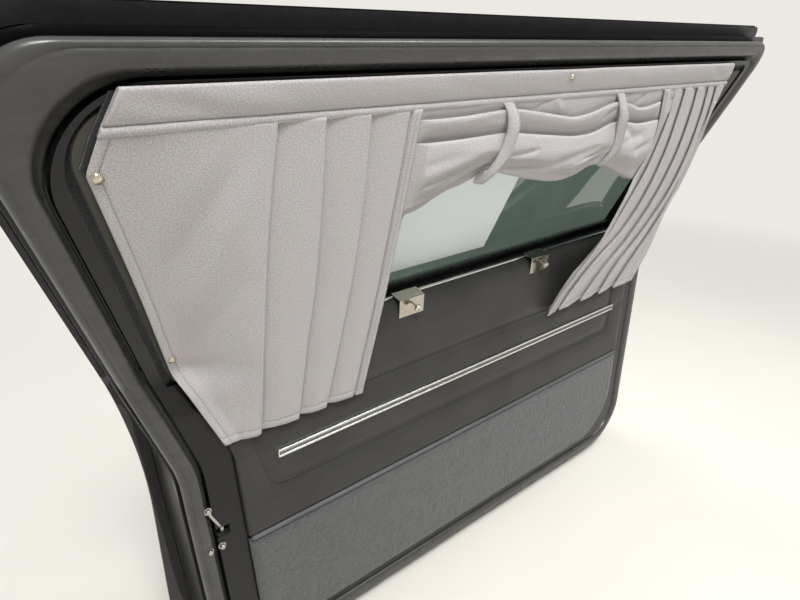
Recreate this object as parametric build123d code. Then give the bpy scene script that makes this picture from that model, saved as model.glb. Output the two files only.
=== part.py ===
from build123d import *
import math
import os

# Rear side door of a hearse, modelled as it hangs wide open.
# Millimetres. X runs along the door towards the hinges, Y from the trimmed
# inner face to the painted outer skin, Z up. Until the last step x = 0 is the
# hinge axis, y = 0 the face of the trim card and z = 0 the belt of the door.

# Main sizes, taken on the lip between inner face and shut face
BELT_LENGTH = 1295.0
WINDOW_RISE = 424.0
DOOR_DROP = 636.0
HINGE_BACK = 66.0
REAR_SLOPE = -0.30
KNEE_FORWARD = 53.0
BOTTOM_FORWARD = 73.0

# Corners of every outline come in this order: front bottom, front top, rear
# top, knee, rear bottom. The edge that follows a corner shares its place.
LIP_RADII = [90.0, 24.0, 96.0, 200.0, 60.0]
STEP_GROW = [42.0, 47.0, 42.0, 42.0, 42.0]
STEP_RADII = [80.0, 30.0, 76.0, 158.0, 80.0]
HEM_GROW = [62.0, 70.0, 50.0, 54.0, 62.0]
HEM_RADII = [40.0, 35.0, 84.0, 1000.0, 60.0]
HEM_FLARE = 36.0
HEM_WIDTH = 12.0
STEP_DEPTH = 22.0

# Side view of the inner face: upright below the belt, leaning in above it
LEAN = 27.0
INNER_Y = 12.0
BELT_Y = 25.0
BEND_DROP = 70.0
INNER_RADII = [60.0, 40.0]

# Side view of the outer skin: y, and how far below the belt
SKIN_Y = 150.0
TUCK_Y = (100.0, 140.0)
TUCK_RISE = 116.0
SKIN_FLAT = (100.0, 260.0)
SKIN_TOP_Y = (104.0, 100.0)
SKIN_RADII = [900.0, 1500.0, 140.0, 20.0]
SKIN = 1.5
SHEET = 2.0

# Window frame, its sunken garnish, and the glass
FRAME_DEPTH = 70.0
FRAME_STEP = 8.0
FRAME_FOOT = 22.0
FRAME_FACE = [17.0, 9.0, 17.0, 17.0, 17.0]
RECESS = 10.0
RECESS_RADII = [12.0, 15.0, 74.0, 217.0, 12.0]
GROOVE = 12.0
GARNISH_RADII = [2.0, 5.0, 50.0, 229.0, 2.0]
OPENING = [58.0, 55.0, 60.0, 60.0, 60.0]
OPENING_RADII = [5.0, 18.0, 70.0, 120.0, 5.0]
RUN_LIP = 3.0
FIT_GAP = 0.2
CHANNEL_WALL = 3.5
CHANNEL_DEEP = 14.0
GLASS_NEAR = 53.5
GLASS = 4.5
GLASS_EDGE = 3.0
GLASS_DROP = 60.0

# Sill between trim card and glass
SILL_Y = 15.0
SILL_Z = 14.5
SILL_LAND = 7.0
SHOULDER_RADIUS = 58.0
BEAD_RADIUS = 3.0
RAIL_DEPTH = 38.0
BELT_SEAL = 10.3
BELT_SEAL_Z = (4.0, 24.0)
MOULDING_PROUD = 3.0
MOULDING_HEIGHT = 15.0
MOULDING_CHAMFER = (9.0, 6.0)

# Trim card, carpet and bright strip
CARD = 12.0
CARD_GROW = [-40.0, -426.0, -52.0, -52.0, -24.0]
CARD_RADII = [140.0, 5.0, 5.0, 150.0, 70.0]
CARPET_DROP = 357.0
PIPING_RADIUS = 5.0
EMBOSS_DROP = (129.0, 272.0)
EMBOSS_ENDS = (165.0, 106.0)
EMBOSS_RAKE = 36.0
EMBOSS_RADIUS = 12.0
EMBOSS_DEPTH = 2.5
EMBOSS_WIDTH = 6.0
STRIP_DROP = 199.0
STRIP_ENDS = (180.0, 101.0)
STRIP_WIDTH = 16.0
STRIP_DEPTH = 5.0
STRIP_FLUTE = 7.0
STRIP_SUNK = 1.5
STRIP_ROUND = 1.2

# Folded clips that hold a name plate on the sill. Their places are shares of
# the belt length behind the front of the lip. The side view is y and height
# above the sill, from the back tongue over the bead to the front.
CLIP = 1.6
CLIP_WIDTH = 60.0
CLIP_BACK = (0.6286, 0.3367)
CLIP_BEND = 1.5
CLIP_SIDE = [(24.0, 0.2), (24.0, 8.6), (-3.5, 2.0), (-1.0, -34.0)]
SCREW_DROP = 10.0
SCREW_TILT = 18.0
SCREW_SHANK = (2.0, 15.0)
SCREW_HEAD = (7.0, 6.0)

# Bulb seal round the shut face, and the second lip seal of the window frame
SEAL_INSIDE = 8.0
SEAL_OUTSIDE = 38.0
SEAL_HEIGHT = 26.0
SEAL_TIGHTEN = 2.0
SEAL_RADII = [126.0, 60.0, 72.0, 236.0, 96.0]
SEAL_FLANGE = 5.0
SEAL_FLANGE_HEIGHT = 12.0
SEAL_ROUND = 7.0
LIP_SEAL_INSET = 2.0
LIP_SEAL_GAP = 1.0
LIP_SEAL_DEPTH = 6.0

# Hinges
OPEN_ANGLE = 65.0
PIN_Y = 112.0
PIN_RADIUS = 5.0
PIN_CLEARANCE = 0.05
PIN_GRIP = 0.01
PIN_END = 2.0
PIN_HEAD = (8.0, 5.0)
UPPER_DROP = 120.0
HINGE_SPACING = 380.0
KNUCKLE_RADIUS = 10.0
LEAF = 4.0
LEAF_HEIGHT = 64.0
LEAF_CORNER = 6.0
EAR = 5.0
EAR_GAP = 0.5
EAR_Z = 8.0
EAR_INSET = (8.0, 4.0)
DOOR_LEAF_Y = (-60.0, 14.0)
PILLAR_LEAF_Y = (-46.0, 6.0)
PILLAR_X = 30.0
BOLT_RADIUS = 4.5
BOLT_SPREAD = 40.0
BOLT_BACK = 34.0

# Latch on the rear edge: its plate in the pan, mouth, case and claw
LATCH_DROP = 318.0
LATCH_PLATE = (60.0, 80.0, 96.0)
MOUTH = 20.0
MOUTH_DEPTH = 44.0
MOUTH_REACH = (20.0, 24.0)
CASE_LENGTH = 42.0
CASE_HEIGHT = 84.0
CASE_DEPTH = 66.0
CLAW_RADIUS = 17.0
CLAW = 5.0
CLAW_JAW = 11.0
CLAW_TURN = 205.0
CLAW_FORWARD = 12.0
CLAW_Y = 34.0

# Outer handle, key lock and wiring boot
HANDLE_FORWARD = 86.0
HANDLE_LENGTH = 195.0
HANDLE_DROP = 130.0
HANDLE_REACH = 36.0
HANDLE = 11.0
HANDLE_HEIGHT = 22.0
HANDLE_ROUND = 4.0
FOOT_RADIUS = 14.0
FOOT_HEIGHT = 7.0
LOCK_SPACING = 40.0
LOCK_RADIUS = 10.0
LOCK_HEIGHT = 4.0
KEY_SLOT = (2.0, 8.0, 3.0)
BOOT_Y = 66.0
BOOT_DROP = 361.0
BOOT_REACH = 63.0
BOOT_RISE = 103.0
BOOT_RADIUS = 8.0
BOOT_RIB = 3.0
BOOT_RIBS = 9
BOOT_CUFF = (14.0, 8.0)

# Drapes: a header on the frame, and panels that hang straight from it to
# the hem, which stands a little in front of the card. Places along the belt
# are shares of its length, from the front of the lip backwards.
CLOTH = 6.0
HEADER_GAP = 1.5
HEADER_DOWN = 4.0
HEADER_HEIGHT = 45.0
HEADER_FRONT = (76.0, 94.0)
HEADER_REAR = (61.0, 95.0)
HEADER_ROUND = 12.0
HEM_DROP = 133.0
HEM_STAND = 12.0
SEAM = 0.2
EDGE_BAND = 26.0
PLEAT_STEP = 1.5
PLEATS_DEEP = (3.0, 9.0)

# Rear panel: height, rear edge inside the lip, stand of that edge off the face
REAR_ROWS = [(338.0, 37.0, 7.0), (12.0, 31.0, 15.0), (-20.0, 34.0, 12.0), (-HEM_DROP, 46.0, HEM_STAND)]
REAR_TOP = (61.0, 7.5)
# Front panel: height, place of its rear edge, place of its edge at the hinges
FRONT_ROWS = [(190.0, 0.2386, 0.0355), (26.0, 0.2579, 0.0224), (-HEM_DROP, 0.3073, 0.0255)]
FRONT_TOP = (0.2541, 0.0579)
# Pleats: place under the header, place at the hem
REAR_PLEATS = [(0.8911, 0.8842), (0.8417, 0.8317), (0.7907, 0.7884), (0.7429, 0.7436)]
REAR_MEETING = (0.7259, 0.7313)
FRONT_PLEATS = [
    (0.2286, 0.2479),
    (0.1954, 0.1900),
    (0.1653, 0.1398),
    (0.1328, 0.1035),
    (0.1042, 0.0726),
    (0.0788, 0.0479),
]

# Swag between the panels: place and height of its lower edge at the rear
# panel, the first strap, the dip, the second strap and the front panel
SWAG_EDGE = [(0.7247, 229.0), (0.6062, 284.0), (0.4819, 231.0), (0.3583, 244.0), (0.2448, 198.0)]
SWAG_TOP_BACK = 0.2552
ROLL_EDGES = [326.0, 278.0, 190.0]
ROLL_BULGE = 14.0
STRAP = 3.0
STRAP_GAP = 0.6
STRAP_WIDTH = 29.0
# Straps: place under the header, place and height of the loose end
STRAPS = [(0.6116, 0.6069, 262.0), (0.3799, 0.3552, 243.0)]

# Snap heads: height, distance inside the lip, radius; or place, height, radius
SNAP = 3.0
SNAP_STAND = 0.6
SNAP_EDGE = [(334.0, 46.0, 7.0), (43.0, 40.0, 6.0)]
SNAP_HEADER = (0.5004, 409.0, 5.0)
SNAP_FRONT = (0.0656, 338.0, 4.0)
HOOK_PADS_BACK = (0.8602, 0.7676, 0.2734, 0.1035)
HOOK_PAD = (40.0, 14.0)
HOOK_STRIP = 34.0

# Blank paper sheet on the glass: size, place and height of its lower corner
PAPER = 0.6
PAPER_WIDTH = 279.0
PAPER_HEIGHT = 216.0
PAPER_CORNER = (0.6525, 53.0)

# Sizes that follow
LEAN_TAN = math.tan(math.radians(LEAN))
OVERRUN = 400.0
LOW_Z = -DOOR_DROP - OVERRUN / 2
TOP_Z = WINDOW_RISE + OVERRUN / 2
LIP_X = -HINGE_BACK
REAR_X = LIP_X - BELT_LENGTH
X_FAR = REAR_X - OVERRUN
X_NEAR = OVERRUN
INNER_LINE = [
    (INNER_Y, LOW_Z),
    (INNER_Y, -BEND_DROP),
    (BELT_Y, 0.0),
    (BELT_Y - TOP_Z * LEAN_TAN, TOP_Z),
]
OUTER_LINE = [
    (TUCK_Y[0], LOW_Z),
    (TUCK_Y[1], TUCK_RISE - DOOR_DROP),
    (SKIN_Y, -SKIN_FLAT[1]),
    (SKIN_Y, -SKIN_FLAT[0]),
    (SKIN_TOP_Y[0], 0.0),
    (SKIN_TOP_Y[1], 12.0),
]
CHANNEL_NEAR = GLASS_NEAR - CHANNEL_WALL
CHANNEL_FAR = GLASS_NEAR + GLASS + CHANNEL_WALL
BELT_SEAL_NEAR = GLASS_NEAR - FIT_GAP - BELT_SEAL
HEADER_TOP = WINDOW_RISE - HEADER_DOWN
HEADER_LOW = HEADER_TOP - HEADER_HEIGHT
CLOTH_TOP = HEADER_LOW - SEAM
HINGE_Z = {"upper": -UPPER_DROP, "lower": -UPPER_DROP - HINGE_SPACING}


def grown(corners, distance):
    """Corners of a polygon whose edges have moved outwards, each by its own distance."""
    count = len(corners)
    distances = distance if isinstance(distance, list) else [distance] * count
    lines = []
    for i in range(count):
        (x0, z0), (x1, z1) = corners[i], corners[(i + 1) % count]
        length = math.hypot(x1 - x0, z1 - z0)
        nx, nz = (z1 - z0) / length, -(x1 - x0) / length
        lines.append((nx, nz, nx * x0 + nz * z0 + distances[i]))
    moved = []
    for i in range(count):
        a0, b0, c0 = lines[i - 1]
        a1, b1, c1 = lines[i]
        det = a0 * b1 - a1 * b0
        moved.append(((c0 * b1 - c1 * b0) / det, (a0 * c1 - a1 * c0) / det))
    return moved


def turned(distances):
    """The same distances, inwards."""
    return [-d for d in distances]


def widened(radii, distance):
    """Corner radii that go with an outline grown by the distance."""
    return [max(r + distance, 1.0) for r in radii]


def prism(corners, radii):
    """Outline in side elevation (x, z), as a solid that runs right through the door."""
    path = FilletPolyline(*[(x, 0, z) for x, z in corners], radius=radii, close=True)
    return extrude(make_face(path.edges()), amount=OVERRUN, both=True)


def along_x(edges):
    """Side view of a piece, as a bar that runs past both ends of the door."""
    return extrude(make_face(edges), amount=X_NEAR - X_FAR, dir=(1, 0, 0))


def slab(points, radii, near, far):
    """The space between two copies of a side-view line, moved by near and far along Y."""
    first = FilletPolyline(*[(X_FAR, y + near, z) for y, z in points], radius=radii)
    second = FilletPolyline(*[(X_FAR, y + far, z) for y, z in points], radius=radii)
    ends = [Line(first @ 0, second @ 0), Line(first @ 1, second @ 1)]
    return along_x([*first.edges(), *second.edges(), *ends])


def strip_between(low, high, near, far):
    """The same for one straight line between two points (y, z)."""
    near_side = [(low[0] + near, low[1]), (high[0] + near, high[1])]
    far_side = [(high[0] + far, high[1]), (low[0] + far, low[1])]
    return along_x(Polyline(*[(X_FAR, y, z) for y, z in near_side + far_side], close=True).edges())


def inner_slab(near, far):
    """Space at a depth behind the inner face."""
    return slab(INNER_LINE, INNER_RADII, near, far)


def outer_slab(near, far):
    """Space at a distance outside the outer skin."""
    return slab(OUTER_LINE, SKIN_RADII, near, far)


def lean_slab(near, far):
    """Space at a depth behind the straight line that the glass follows."""
    low, high = [(BELT_Y - z * LEAN_TAN, z) for z in (-GLASS_DROP - BEAD_RADIUS, TOP_Z)]
    return strip_between(low, high, near, far)


def block(x0, x1, y0, y1, z0, z1):
    """Box between two corners."""
    box = Box(x1 - x0, y1 - y0, z1 - z0)
    return Pos((x0 + x1) / 2, (y0 + y1) / 2, (z0 + z1) / 2) * box


def layer(z0, z1):
    """Everything between two heights."""
    return block(X_FAR, X_NEAR, -OVERRUN, OVERRUN, z0, z1)


def rod_y(x, z, y0, y1, radius):
    """Round bar along Y."""
    return Pos(x, (y0 + y1) / 2, z) * Rot(90, 0, 0) * Cylinder(radius, y1 - y0)


def rod_x(y, z, x0, x1, radius):
    """Round bar along X."""
    return Pos((x0 + x1) / 2, y, z) * Rot(0, 90, 0) * Cylinder(radius, x1 - x0)


def rear_x(z):
    """Lip at the rear edge, slanted above the knee and nearly upright below it."""
    if z >= KNEE_Z:
        return REAR_X + REAR_SLOPE * z
    return KNEE_X + (REAR_BOTTOM_X - KNEE_X) * (KNEE_Z - z) / (KNEE_Z + DOOR_DROP)


def behind(share):
    """x at a share of the belt length behind the front of the lip."""
    return LIP_X - share * BELT_LENGTH


def face_y(z):
    """Inner face of the frame, and below the belt the face of the card."""
    return BELT_Y - z * LEAN_TAN if z > 0 else 0.0


# Outlines
KNEE_X = REAR_X + KNEE_FORWARD
KNEE_Z = KNEE_FORWARD / REAR_SLOPE
REAR_BOTTOM_X = REAR_X + BOTTOM_FORWARD
LIP = [
    (LIP_X, -DOOR_DROP),
    (LIP_X, WINDOW_RISE),
    (REAR_X + REAR_SLOPE * WINDOW_RISE, WINDOW_RISE),
    (KNEE_X, KNEE_Z),
    (REAR_BOTTOM_X, -DOOR_DROP),
]
STEP = grown(LIP, STEP_GROW)
HEM = grown(LIP, HEM_GROW)
HEM[4] = (HEM[4][0] - HEM_FLARE, HEM[4][1])
HOLE = grown(LIP, turned(OPENING))
RECESS_EDGE = grown(LIP, turned(FRAME_FACE))
CARD_EDGE = grown(LIP, CARD_GROW)
SHUT_X = LIP_X + STEP_GROW[0]
CARD_ENDS = (REAR_X - CARD_GROW[2], LIP_X + CARD_GROW[0])


def outer_skin():
    """Painted panel below the belt, with its folded edge."""
    panel = outer_slab(-SKIN, 0) & prism(HEM, HEM_RADII)
    ring = prism(HEM, HEM_RADII) - prism(grown(HEM, -HEM_WIDTH), widened(HEM_RADII, -HEM_WIDTH))
    hem = outer_slab(-3 * SKIN, -SKIN) & ring
    return (panel + hem) & layer(LOW_Z, 0)


def frame_legs(gap):
    """The zone below the belt that the legs of the window frame take."""
    return layer(-FRAME_FOOT, 0) - prism(grown(HOLE, -gap), OPENING_RADII)


def pan():
    """Pressed pan below the belt: its face, lip, shut face and side wall."""
    behind_skin = outer_slab(-OVERRUN, -3 * SKIN - FIT_GAP)
    outside = inner_slab(0, STEP_DEPTH) & prism(LIP, LIP_RADII)
    outside += inner_slab(STEP_DEPTH, OVERRUN) & prism(STEP, STEP_RADII) & behind_skin
    lip_inside = prism(grown(LIP, -SHEET), widened(LIP_RADII, -SHEET))
    step_inside = prism(grown(STEP, -SHEET), widened(STEP_RADII, -SHEET))
    inside = inner_slab(SHEET, STEP_DEPTH + SHEET) & lip_inside
    inside += inner_slab(STEP_DEPTH + SHEET, OVERRUN) & step_inside
    return ((outside - inside) & layer(LOW_Z, 0)) - frame_legs(0)


def latch_zone():
    """Where the latch plate takes the place of the pan."""
    reach, depth, height = LATCH_PLATE
    x, z = rear_x(-LATCH_DROP), -LATCH_DROP
    return block(X_FAR, x + reach, -OVERRUN, depth, z - height / 2, z + height / 2)


def inner_panel():
    """Pan that carries the card and hinges, with a rail at the sill."""
    rail_y = SILL_Y + SILL_LAND + FIT_GAP
    rail = block(X_FAR, X_NEAR, rail_y, rail_y + RAIL_DEPTH, SILL_Z - SHEET, SILL_Z)
    rail += block(X_FAR, X_NEAR, rail_y, BELT_Y + SHEET, -SHEET, SILL_Z)
    rail = rail & prism(grown(HOLE, -FIT_GAP), OPENING_RADII)
    return pan() - latch_zone() + (rail - lean_slab(BELT_SEAL_NEAR - FIT_GAP, OVERRUN))


def latch_plate():
    """Stiff plate that fills the pan round the latch, with the mouth cut in it."""
    return (pan() & latch_zone()) - latch_mouth()


def window_frame():
    """Frame round the glass: a lip, a step for the seals, a sunken ledge and the glass channel."""
    ring = inner_slab(0, STEP_DEPTH) & prism(LIP, LIP_RADII)
    ring += inner_slab(STEP_DEPTH, FRAME_DEPTH - FRAME_STEP) & prism(STEP, STEP_RADII)
    ring += inner_slab(FRAME_DEPTH - FRAME_STEP, FRAME_DEPTH) & prism(HEM, HEM_RADII) & layer(0, TOP_Z)
    ring = ring & layer(-FRAME_FOOT, TOP_Z)
    ring -= prism(HOLE, OPENING_RADII)
    ring -= inner_slab(-1, RECESS) & prism(RECESS_EDGE, RECESS_RADII) & layer(-FRAME_FOOT + RECESS / 2, TOP_Z)
    channel = prism(grown(HOLE, CHANNEL_DEEP), widened(OPENING_RADII, CHANNEL_DEEP))
    return ring - (lean_slab(CHANNEL_NEAR, CHANNEL_FAR) & channel)


def frame_garnish():
    """Moulded strip on the ledge round the opening, with a groove left outside it."""
    ring = prism(grown(RECESS_EDGE, -GROOVE), GARNISH_RADII) - prism(HOLE, OPENING_RADII)
    ring = inner_slab(1, RECESS) & ring
    low_z = -FRAME_FOOT + RECESS
    card_x0, card_x1 = CARD_ENDS
    sill = block(card_x0 - 2, card_x1 + 2, -OVERRUN, OVERRUN, LOW_Z, SILL_Z + 2 * BEAD_RADIUS + FIT_GAP)
    return (ring & layer(low_z, TOP_Z)) - sill


def seal_ring(inside, back):
    """Ring from a distance outside the lip to a distance short of the outer edge of the seal."""
    reach = SEAL_OUTSIDE - back
    ring = prism(grown(LIP, reach), widened(SEAL_RADII, -back))
    return ring - prism(grown(LIP, inside), widened(LIP_RADII, inside - SEAL_TIGHTEN))


def weatherstrip():
    """Bulb seal with its thin flange, round the whole shut face."""
    bulb = seal_ring(SEAL_INSIDE, 0)
    flange = seal_ring(SEAL_INSIDE - SEAL_FLANGE, SEAL_FLANGE)
    base = STEP_DEPTH - SEAL_FLANGE_HEIGHT
    crown = seal_ring(SEAL_INSIDE + SEAL_ROUND, SEAL_ROUND)
    seal = inner_slab(STEP_DEPTH - SEAL_HEIGHT + SEAL_ROUND, STEP_DEPTH) & bulb
    seal += inner_slab(base, STEP_DEPTH) & flange
    return seal + (inner_slab(STEP_DEPTH - SEAL_HEIGHT, STEP_DEPTH) & crown)


def reveal_seal():
    """Second lip seal, behind the bulb, round the window frame only."""
    ring = prism(grown(HEM, -LIP_SEAL_INSET), widened(HEM_RADII, -LIP_SEAL_INSET))
    ring -= prism(grown(STEP, LIP_SEAL_GAP), widened(STEP_RADII, LIP_SEAL_GAP))
    back = FRAME_DEPTH - FRAME_STEP
    return inner_slab(back - LIP_SEAL_DEPTH, back) & ring & layer(0, TOP_Z)


def glass():
    """Drop glass, in its channel on three sides and down into the door."""
    edge = CHANNEL_DEEP - GLASS_EDGE
    corners = grown(HOLE, [edge, edge, edge, edge, 0.0])
    pane = lean_slab(GLASS_NEAR, GLASS_NEAR + GLASS) & prism(corners, widened(OPENING_RADII, edge))
    return pane & layer(-GLASS_DROP, TOP_Z)


def glass_run():
    """Rubber channel that holds the edge of the glass."""
    outer = prism(grown(HOLE, CHANNEL_DEEP), widened(OPENING_RADII, CHANNEL_DEEP))
    inner = prism(grown(HOLE, -RUN_LIP), widened(OPENING_RADII, -RUN_LIP))
    run = lean_slab(CHANNEL_NEAR, CHANNEL_FAR) & (outer - inner) & layer(0, TOP_Z)
    edge = CHANNEL_DEEP - GLASS_EDGE + FIT_GAP
    slot = prism(grown(HOLE, edge), widened(OPENING_RADII, edge))
    return run - (lean_slab(GLASS_NEAR - FIT_GAP, GLASS_NEAR + GLASS + FIT_GAP) & slot)


def daylight():
    """The clear opening inside the rubber channel."""
    back = RUN_LIP + FIT_GAP
    return prism(grown(HOLE, -back), widened(OPENING_RADII, -back))


def belt_seal():
    """Wiper strip between the rail and the glass."""
    strip = lean_slab(BELT_SEAL_NEAR, GLASS_NEAR - FIT_GAP)
    return strip & daylight() & layer(*BELT_SEAL_Z)


def belt_moulding():
    """Outer wiper and moulding along the top edge of the skin."""
    face = max(SKIN_TOP_Y[0], BELT_Y + FRAME_DEPTH) + MOULDING_PROUD
    low = BELT_Y + GLASS_NEAR + GLASS + FIT_GAP
    lean = MOULDING_HEIGHT * LEAN_TAN
    chamfer_y, chamfer_z = MOULDING_CHAMFER
    section = Polyline(
        (X_FAR, low, 0),
        (X_FAR, face, 0),
        (X_FAR, face, MOULDING_HEIGHT - chamfer_z),
        (X_FAR, face - chamfer_y, MOULDING_HEIGHT),
        (X_FAR, low - lean, MOULDING_HEIGHT),
        close=True,
    )
    bar = along_x(section.edges()) & prism(HEM, HEM_RADII)
    legs = layer(-1, TOP_Z) - daylight()
    return bar - (legs & lean_slab(-OVERRUN, FRAME_DEPTH + FIT_GAP))


def card_solid():
    """Trim card over its whole height, with the shoulder rolled over to the sill."""
    fall = math.sqrt(SHOULDER_RADIUS**2 - (SHOULDER_RADIUS - SILL_Y) ** 2)
    middle = math.asin(fall / SHOULDER_RADIUS) / 2
    round_y = SHOULDER_RADIUS * (1 - math.cos(middle))
    round_z = SILL_Z - fall + SHOULDER_RADIUS * math.sin(middle)
    upright = Line((X_FAR, 0, LOW_Z), (X_FAR, 0, SILL_Z - fall))
    shoulder = ThreePointArc(upright @ 1, (X_FAR, round_y, round_z), (X_FAR, SILL_Y, SILL_Z))
    back_y = SILL_Y + SILL_LAND
    back = Polyline(
        shoulder @ 1,
        (X_FAR, back_y, SILL_Z),
        (X_FAR, back_y, -SHEET - 2 * FIT_GAP),
        (X_FAR, CARD, -BEND_DROP),
        (X_FAR, CARD, LOW_Z),
        upright @ 0,
    )
    section = along_x([*upright.edges(), *shoulder.edges(), *back.edges()])
    return section & prism(CARD_EDGE, CARD_RADII)


def trim_card():
    """Vinyl card above the piping, with its sewn-in border."""
    card = card_solid() & layer(PIPING_RADIUS - CARPET_DROP, TOP_Z)
    top, low = EMBOSS_DROP
    x0, x1 = REAR_X + EMBOSS_ENDS[0], LIP_X - EMBOSS_ENDS[1]
    corners = [(x1, -low), (x1, -top), (x0 - EMBOSS_RAKE, -top), (x0, -low)]
    inner_radius = EMBOSS_RADIUS - EMBOSS_WIDTH / 2
    border = prism(corners, [EMBOSS_RADIUS] * 4) - prism(grown(corners, -EMBOSS_WIDTH), [inner_radius] * 4)
    return card - (border & block(X_FAR, X_NEAR, -1, EMBOSS_DEPTH, LOW_Z, TOP_Z))


def carpet_panel():
    """Carpeted kick panel below the piping."""
    return card_solid() & layer(LOW_Z, -PIPING_RADIUS - CARPET_DROP)


def piping():
    """Round welt between vinyl and carpet."""
    x0 = rear_x(-CARPET_DROP) - CARD_GROW[3]
    x1 = LIP_X + CARD_GROW[0]
    return rod_x(PIPING_RADIUS, -CARPET_DROP, x0 + PIPING_RADIUS, x1 - PIPING_RADIUS, PIPING_RADIUS - FIT_GAP)


def bright_strip():
    """Fluted bright strip: two beads with a sunk ribbed band between them."""
    x0, x1 = REAR_X + STRIP_ENDS[0], LIP_X - STRIP_ENDS[1]
    half = STRIP_WIDTH / 2
    bar = block(x0, x1, -STRIP_DEPTH, 0, -STRIP_DROP - half, -STRIP_DROP + half)
    flute = STRIP_FLUTE / 2
    sunk_y = STRIP_SUNK - STRIP_DEPTH
    bar -= block(x0 - 1, x1 + 1, -STRIP_DEPTH - 1, sunk_y, -STRIP_DROP - flute, -STRIP_DROP + flute)
    return fillet(bar.edges().filter_by(Axis.X).group_by(Axis.Y)[0], STRIP_ROUND)


def sill_bead():
    """Bright bead along the top of the shoulder."""
    x0, x1 = CARD_ENDS
    end = CARD_RADII[2]
    return rod_x(SILL_Y + BEAD_RADIUS, SILL_Z + BEAD_RADIUS, x0 + end, x1 - end, BEAD_RADIUS)


def clip_strip(place):
    """Folded clip over the bead, with its tongue behind it and its plate in front."""
    x = behind(place)
    path = FilletPolyline(*[(x, y, SILL_Z + z) for y, z in CLIP_SIDE], radius=CLIP_BEND)
    section = Plane(origin=path @ 0, x_dir=(1, 0, 0), z_dir=path % 0) * Rectangle(CLIP_WIDTH, CLIP)
    return sweep(section, path=path)


def clip_screws():
    """Thumb screws that pinch a name plate against each clip."""
    (fold_y, fold_z), (low_y, low_z) = CLIP_SIDE[2], CLIP_SIDE[3]
    share = SCREW_DROP / (fold_z - low_z)
    seat_y = fold_y + (low_y - fold_y) * share - CLIP / 2
    slope = math.degrees(math.atan2(low_y - fold_y, fold_z - low_z))
    shank_radius, shank = SCREW_SHANK
    head_radius, head = SCREW_HEAD
    screws = []
    for place in CLIP_BACK:
        bar = Pos(0, 0, shank / 2) * Cylinder(shank_radius, shank + 2 * CLIP)
        bar += Pos(0, 0, shank + head / 2) * Cylinder(head_radius, head)
        seat = Pos(behind(place), seat_y, SILL_Z + fold_z - SCREW_DROP)
        screw = seat * Rot(90 + SCREW_TILT, 0, 0) * bar
        plate = seat * Rot(slope, 0, 0) * Pos(0, CLIP - FIT_GAP, 0) * Box(CLIP_WIDTH, 2 * CLIP, CLIP_WIDTH)
        screws.append(screw - plate)
    return Compound(children=screws)


def hang_y(z):
    """Middle of the folds of the hanging cloth."""
    top_y = face_y(HEADER_LOW) - HEADER_GAP - CLOTH
    return top_y + (-HEM_STAND - top_y) * (HEADER_LOW - z) / (HEADER_LOW + HEM_DROP)


def low_share(z):
    """0 under the header, 1 at the hem."""
    return (CLOTH_TOP - z) / (CLOTH_TOP + HEM_DROP)


def folds(z, start, pleats, end_x):
    """Front of a pleated panel at one height: points from its flat start to its last fold."""
    share = low_share(z)
    deep = PLEATS_DEEP[0] + (PLEATS_DEEP[1] - PLEATS_DEEP[0]) * share
    ridge, valley = hang_y(z) - deep / 2, hang_y(z) + deep / 2
    points = list(start)
    for top, low in pleats:
        x = behind(top + (low - top) * share)
        points += [(x, ridge), (x + PLEAT_STEP, valley)]
    return points + [(end_x, ridge)]


def rear_fold_line(z, inside, stand):
    """Rear panel: a band flat on the frame, then the pleats."""
    edge_x, edge_y = rear_x(z) + inside, face_y(z) - stand
    end_x = behind(REAR_MEETING[0] + (REAR_MEETING[1] - REAR_MEETING[0]) * low_share(z))
    return folds(z, [(edge_x, edge_y), (edge_x + EDGE_BAND, edge_y)], REAR_PLEATS, end_x)


def front_fold_line(z, rear_edge, hinge_edge):
    """Front panel: pleats from its tied-back edge to the hinges."""
    return folds(z, [(behind(rear_edge), hang_y(z))], FRONT_PLEATS, behind(hinge_edge))


def cloth_between(rows):
    """Cloth of even thickness behind a list of (height, front line)."""
    faces = []
    for z, line in rows:
        outline = line + [(x, y + CLOTH) for x, y in reversed(line)]
        faces.append(make_face(Polyline(*[(x, y, z) for x, y in outline], close=True).edges()))
    panel = loft([faces[0], faces[1]], ruled=True)
    for upper, lower in zip(faces[1:], faces[2:]):
        panel += loft([upper, lower], ruled=True)
    return panel


def drape_rear():
    """Rear panel of the drapes, with its edge snapped to the frame."""
    rows = [(CLOTH_TOP, rear_fold_line(CLOTH_TOP, *REAR_TOP))]
    rows += [(z, rear_fold_line(z, inside, stand)) for z, inside, stand in REAR_ROWS]
    return cloth_between(rows)


def drape_front():
    """Front panel of the drapes, tied back towards the hinges."""
    rows = [(CLOTH_TOP, front_fold_line(CLOTH_TOP, *FRONT_TOP))]
    rows += [(z, front_fold_line(z, rear_edge, hinge_edge)) for z, rear_edge, hinge_edge in FRONT_ROWS]
    return cloth_between(rows)


def drape_header():
    """Sewn band along the top of the drapes, on its strip of hook tape."""
    corners = [
        (LIP_X - HEADER_FRONT[0], HEADER_LOW),
        (LIP_X - HEADER_FRONT[1], HEADER_TOP),
        (rear_x(HEADER_TOP) + HEADER_REAR[1], HEADER_TOP),
        (rear_x(HEADER_LOW) + HEADER_REAR[0], HEADER_LOW),
    ]
    radii = [1.0, HEADER_ROUND, 1.0, 1.0]
    return lean_slab(-HEADER_GAP - CLOTH, -HEADER_GAP) & prism(corners, radii)


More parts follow.
